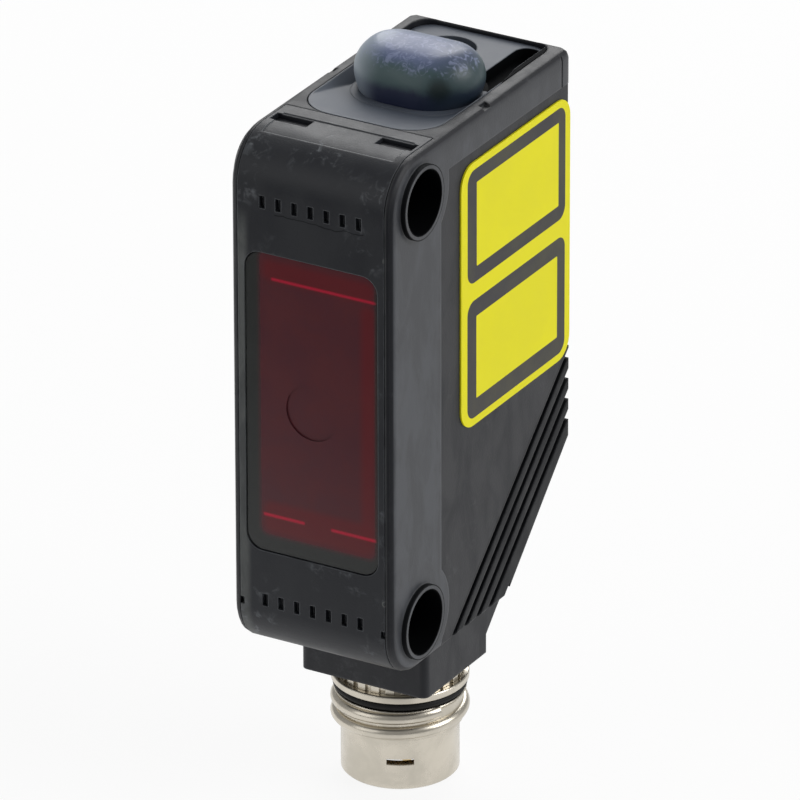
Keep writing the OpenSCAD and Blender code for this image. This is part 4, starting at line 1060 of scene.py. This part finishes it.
def end_pattern(tree, t_in, t_out, geometry, height, turn=0.0):
    """Ends a tree: moves the pattern to its height on the axis, makes it real and gives it its finish."""
    moved = add(tree, "GeometryNodeTransform", {"Geometry": geometry, "Rotation": triple(tree, z=turn),
                                                "Translation": triple(tree, y=t_in["Axis Y"], z=height)})
    real = add(tree, "GeometryNodeRealizeInstances", {"Geometry": moved.outputs[0]})
    dressed = add(tree, "GeometryNodeSetMaterial", {"Geometry": real.outputs[0], "Material": t_in["Finish"]})
    feed(tree, t_out["Geometry"], dressed.outputs[0])


def grow_piece(name, tree, values, body):
    """Runs a geometry tree with its own values and keeps the result as a plain mesh on a body."""
    seed_object = put_in_scene(name + "_seed", bpy.data.meshes.new(name + "_seed"))
    modifier = seed_object.modifiers.new(name, "NODES")
    modifier.node_group = tree
    for item in tree.interface.items_tree:
        if item.item_type == "SOCKET" and item.in_out == "INPUT" and item.name in values:
            modifier[item.identifier] = values[item.name]
    mesh = evaluated_mesh(seed_object)
    seed_object.modifiers.remove(modifier)
    bpy.data.objects.remove(seed_object)
    mesh.name = name
    piece = put_in_scene(name, mesh)
    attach(piece, body)
    print(name, "faces:", len(mesh.polygons))


# %% [markdown]
# ## The thread
# The thread of the plug is one ridge that climbs round it. A spiral curve carries a small circle along, which
# keeps the ridge even. The circle shrinks at both ends, as where the cutting tool runs in and out.

# %% The thread's spiral
thread_tree, t_in, t_out = plug_pattern("thread_spiral", [
    ("Root Radius", FLOAT, 3.6 * MM), ("Turns", FLOAT, 1.7), ("Pitch", FLOAT, 1.0 * MM),
    ("Crest Radius", FLOAT, 0.4 * MM), ("Top Z", FLOAT, 0.0), ("Start Turn", FLOAT, 0.0)])
height = times(thread_tree, t_in["Turns"], t_in["Pitch"])
spiral = add(thread_tree, "GeometryNodeCurveSpiral", {
    "Resolution": 96, "Reverse": True, "Rotations": t_in["Turns"], "Start Radius": t_in["Root Radius"],
    "End Radius": t_in["Root Radius"], "Height": height}).outputs[0]
share = add(thread_tree, "GeometryNodeSplineParameter").outputs["Factor"]
to_end = math_node(thread_tree, "MINIMUM", share, less(thread_tree, 1.0, share))
thinned = add(thread_tree, "GeometryNodeSetCurveRadius", {
    "Curve": spiral, "Radius": ramp(thread_tree, to_end, 0.0, 0.09, 0.25, 1.0)}).outputs[0]
section = add(thread_tree, "GeometryNodeCurvePrimitiveCircle", {
    "Resolution": 16, "Radius": t_in["Crest Radius"]}, mode="RADIUS").outputs[0]
ridge = add(thread_tree, "GeometryNodeCurveToMesh", {"Curve": thinned, "Profile Curve": section,
                                                     "Fill Caps": True}).outputs[0]
smooth = add(thread_tree, "GeometryNodeSetShadeSmooth", {"Geometry": ridge, "Shade Smooth": True}).outputs[0]
end_pattern(thread_tree, t_in, t_out, smooth, less(thread_tree, t_in["Top Z"], height), t_in["Start Turn"])

grow_piece("thread_crest", thread_tree, {
    "Root Radius": 3.55 * MM, "Turns": 1.45, "Pitch": 0.92 * MM, "Crest Radius": 0.38 * MM,
    "Axis Y": PLUG_Y * MM, "Top Z": (GROOVE_Z - 0.34) * MM, "Start Turn": math.radians(175),
    "Finish": nickel}, "case")

# %% [markdown]
# ## The collar's teeth
# The collar above the ring is cut into short upright teeth, to be gripped. One tooth is copied to points on a
# circle and turned to face outwards, so the number of teeth is a single input.

# %% The collar's teeth
teeth_tree, t_in, t_out = plug_pattern("collar_teeth", [
    ("Count", INTEGER, 16), ("Radius", FLOAT, 3.4 * MM), ("Tooth Width", FLOAT, 0.7 * MM),
    ("Tooth Depth", FLOAT, 0.3 * MM), ("Tooth Height", FLOAT, 0.7 * MM), ("Middle Z", FLOAT, 0.0)])
circle = add(teeth_tree, "GeometryNodeCurvePrimitiveCircle", {
    "Resolution": t_in["Count"], "Radius": t_in["Radius"]}, mode="RADIUS").outputs[0]
spots = add(teeth_tree, "GeometryNodeCurveToPoints", {"Curve": circle}, mode="EVALUATED").outputs["Points"]
size = triple(teeth_tree, t_in["Tooth Depth"], t_in["Tooth Width"], t_in["Tooth Height"])
tooth = add(teeth_tree, "GeometryNodeMeshCube", {"Size": size}).outputs["Mesh"]
number = add(teeth_tree, "GeometryNodeInputIndex").outputs[0]
turn = math_node(teeth_tree, "DIVIDE", times(teeth_tree, number, 2 * math.pi), t_in["Count"])
copies = add(teeth_tree, "GeometryNodeInstanceOnPoints", {
    "Points": spots, "Instance": tooth, "Rotation": triple(teeth_tree, z=turn)}).outputs[0]
end_pattern(teeth_tree, t_in, t_out, copies, t_in["Middle Z"])

grow_piece("collar_teeth", teeth_tree, {
    "Count": 26, "Radius": 3.4 * MM, "Tooth Width": 0.52 * MM, "Tooth Depth": 0.4 * MM,
    "Tooth Height": 0.74 * MM, "Axis Y": PLUG_Y * MM, "Middle Z": (PLINTH_Z + COLLAR_Z) / 2 * MM,
    "Finish": nickel}, "case")

# %% [markdown]
# ## The size of the solids
# The box of the solids is printed, in millimetres. The dressed sensor has to stay inside the box of its
# solids.

# %% Print the box of the solids
print("cad box", [round(v / MM, 3) for v in (*cad_low, *cad_high)])
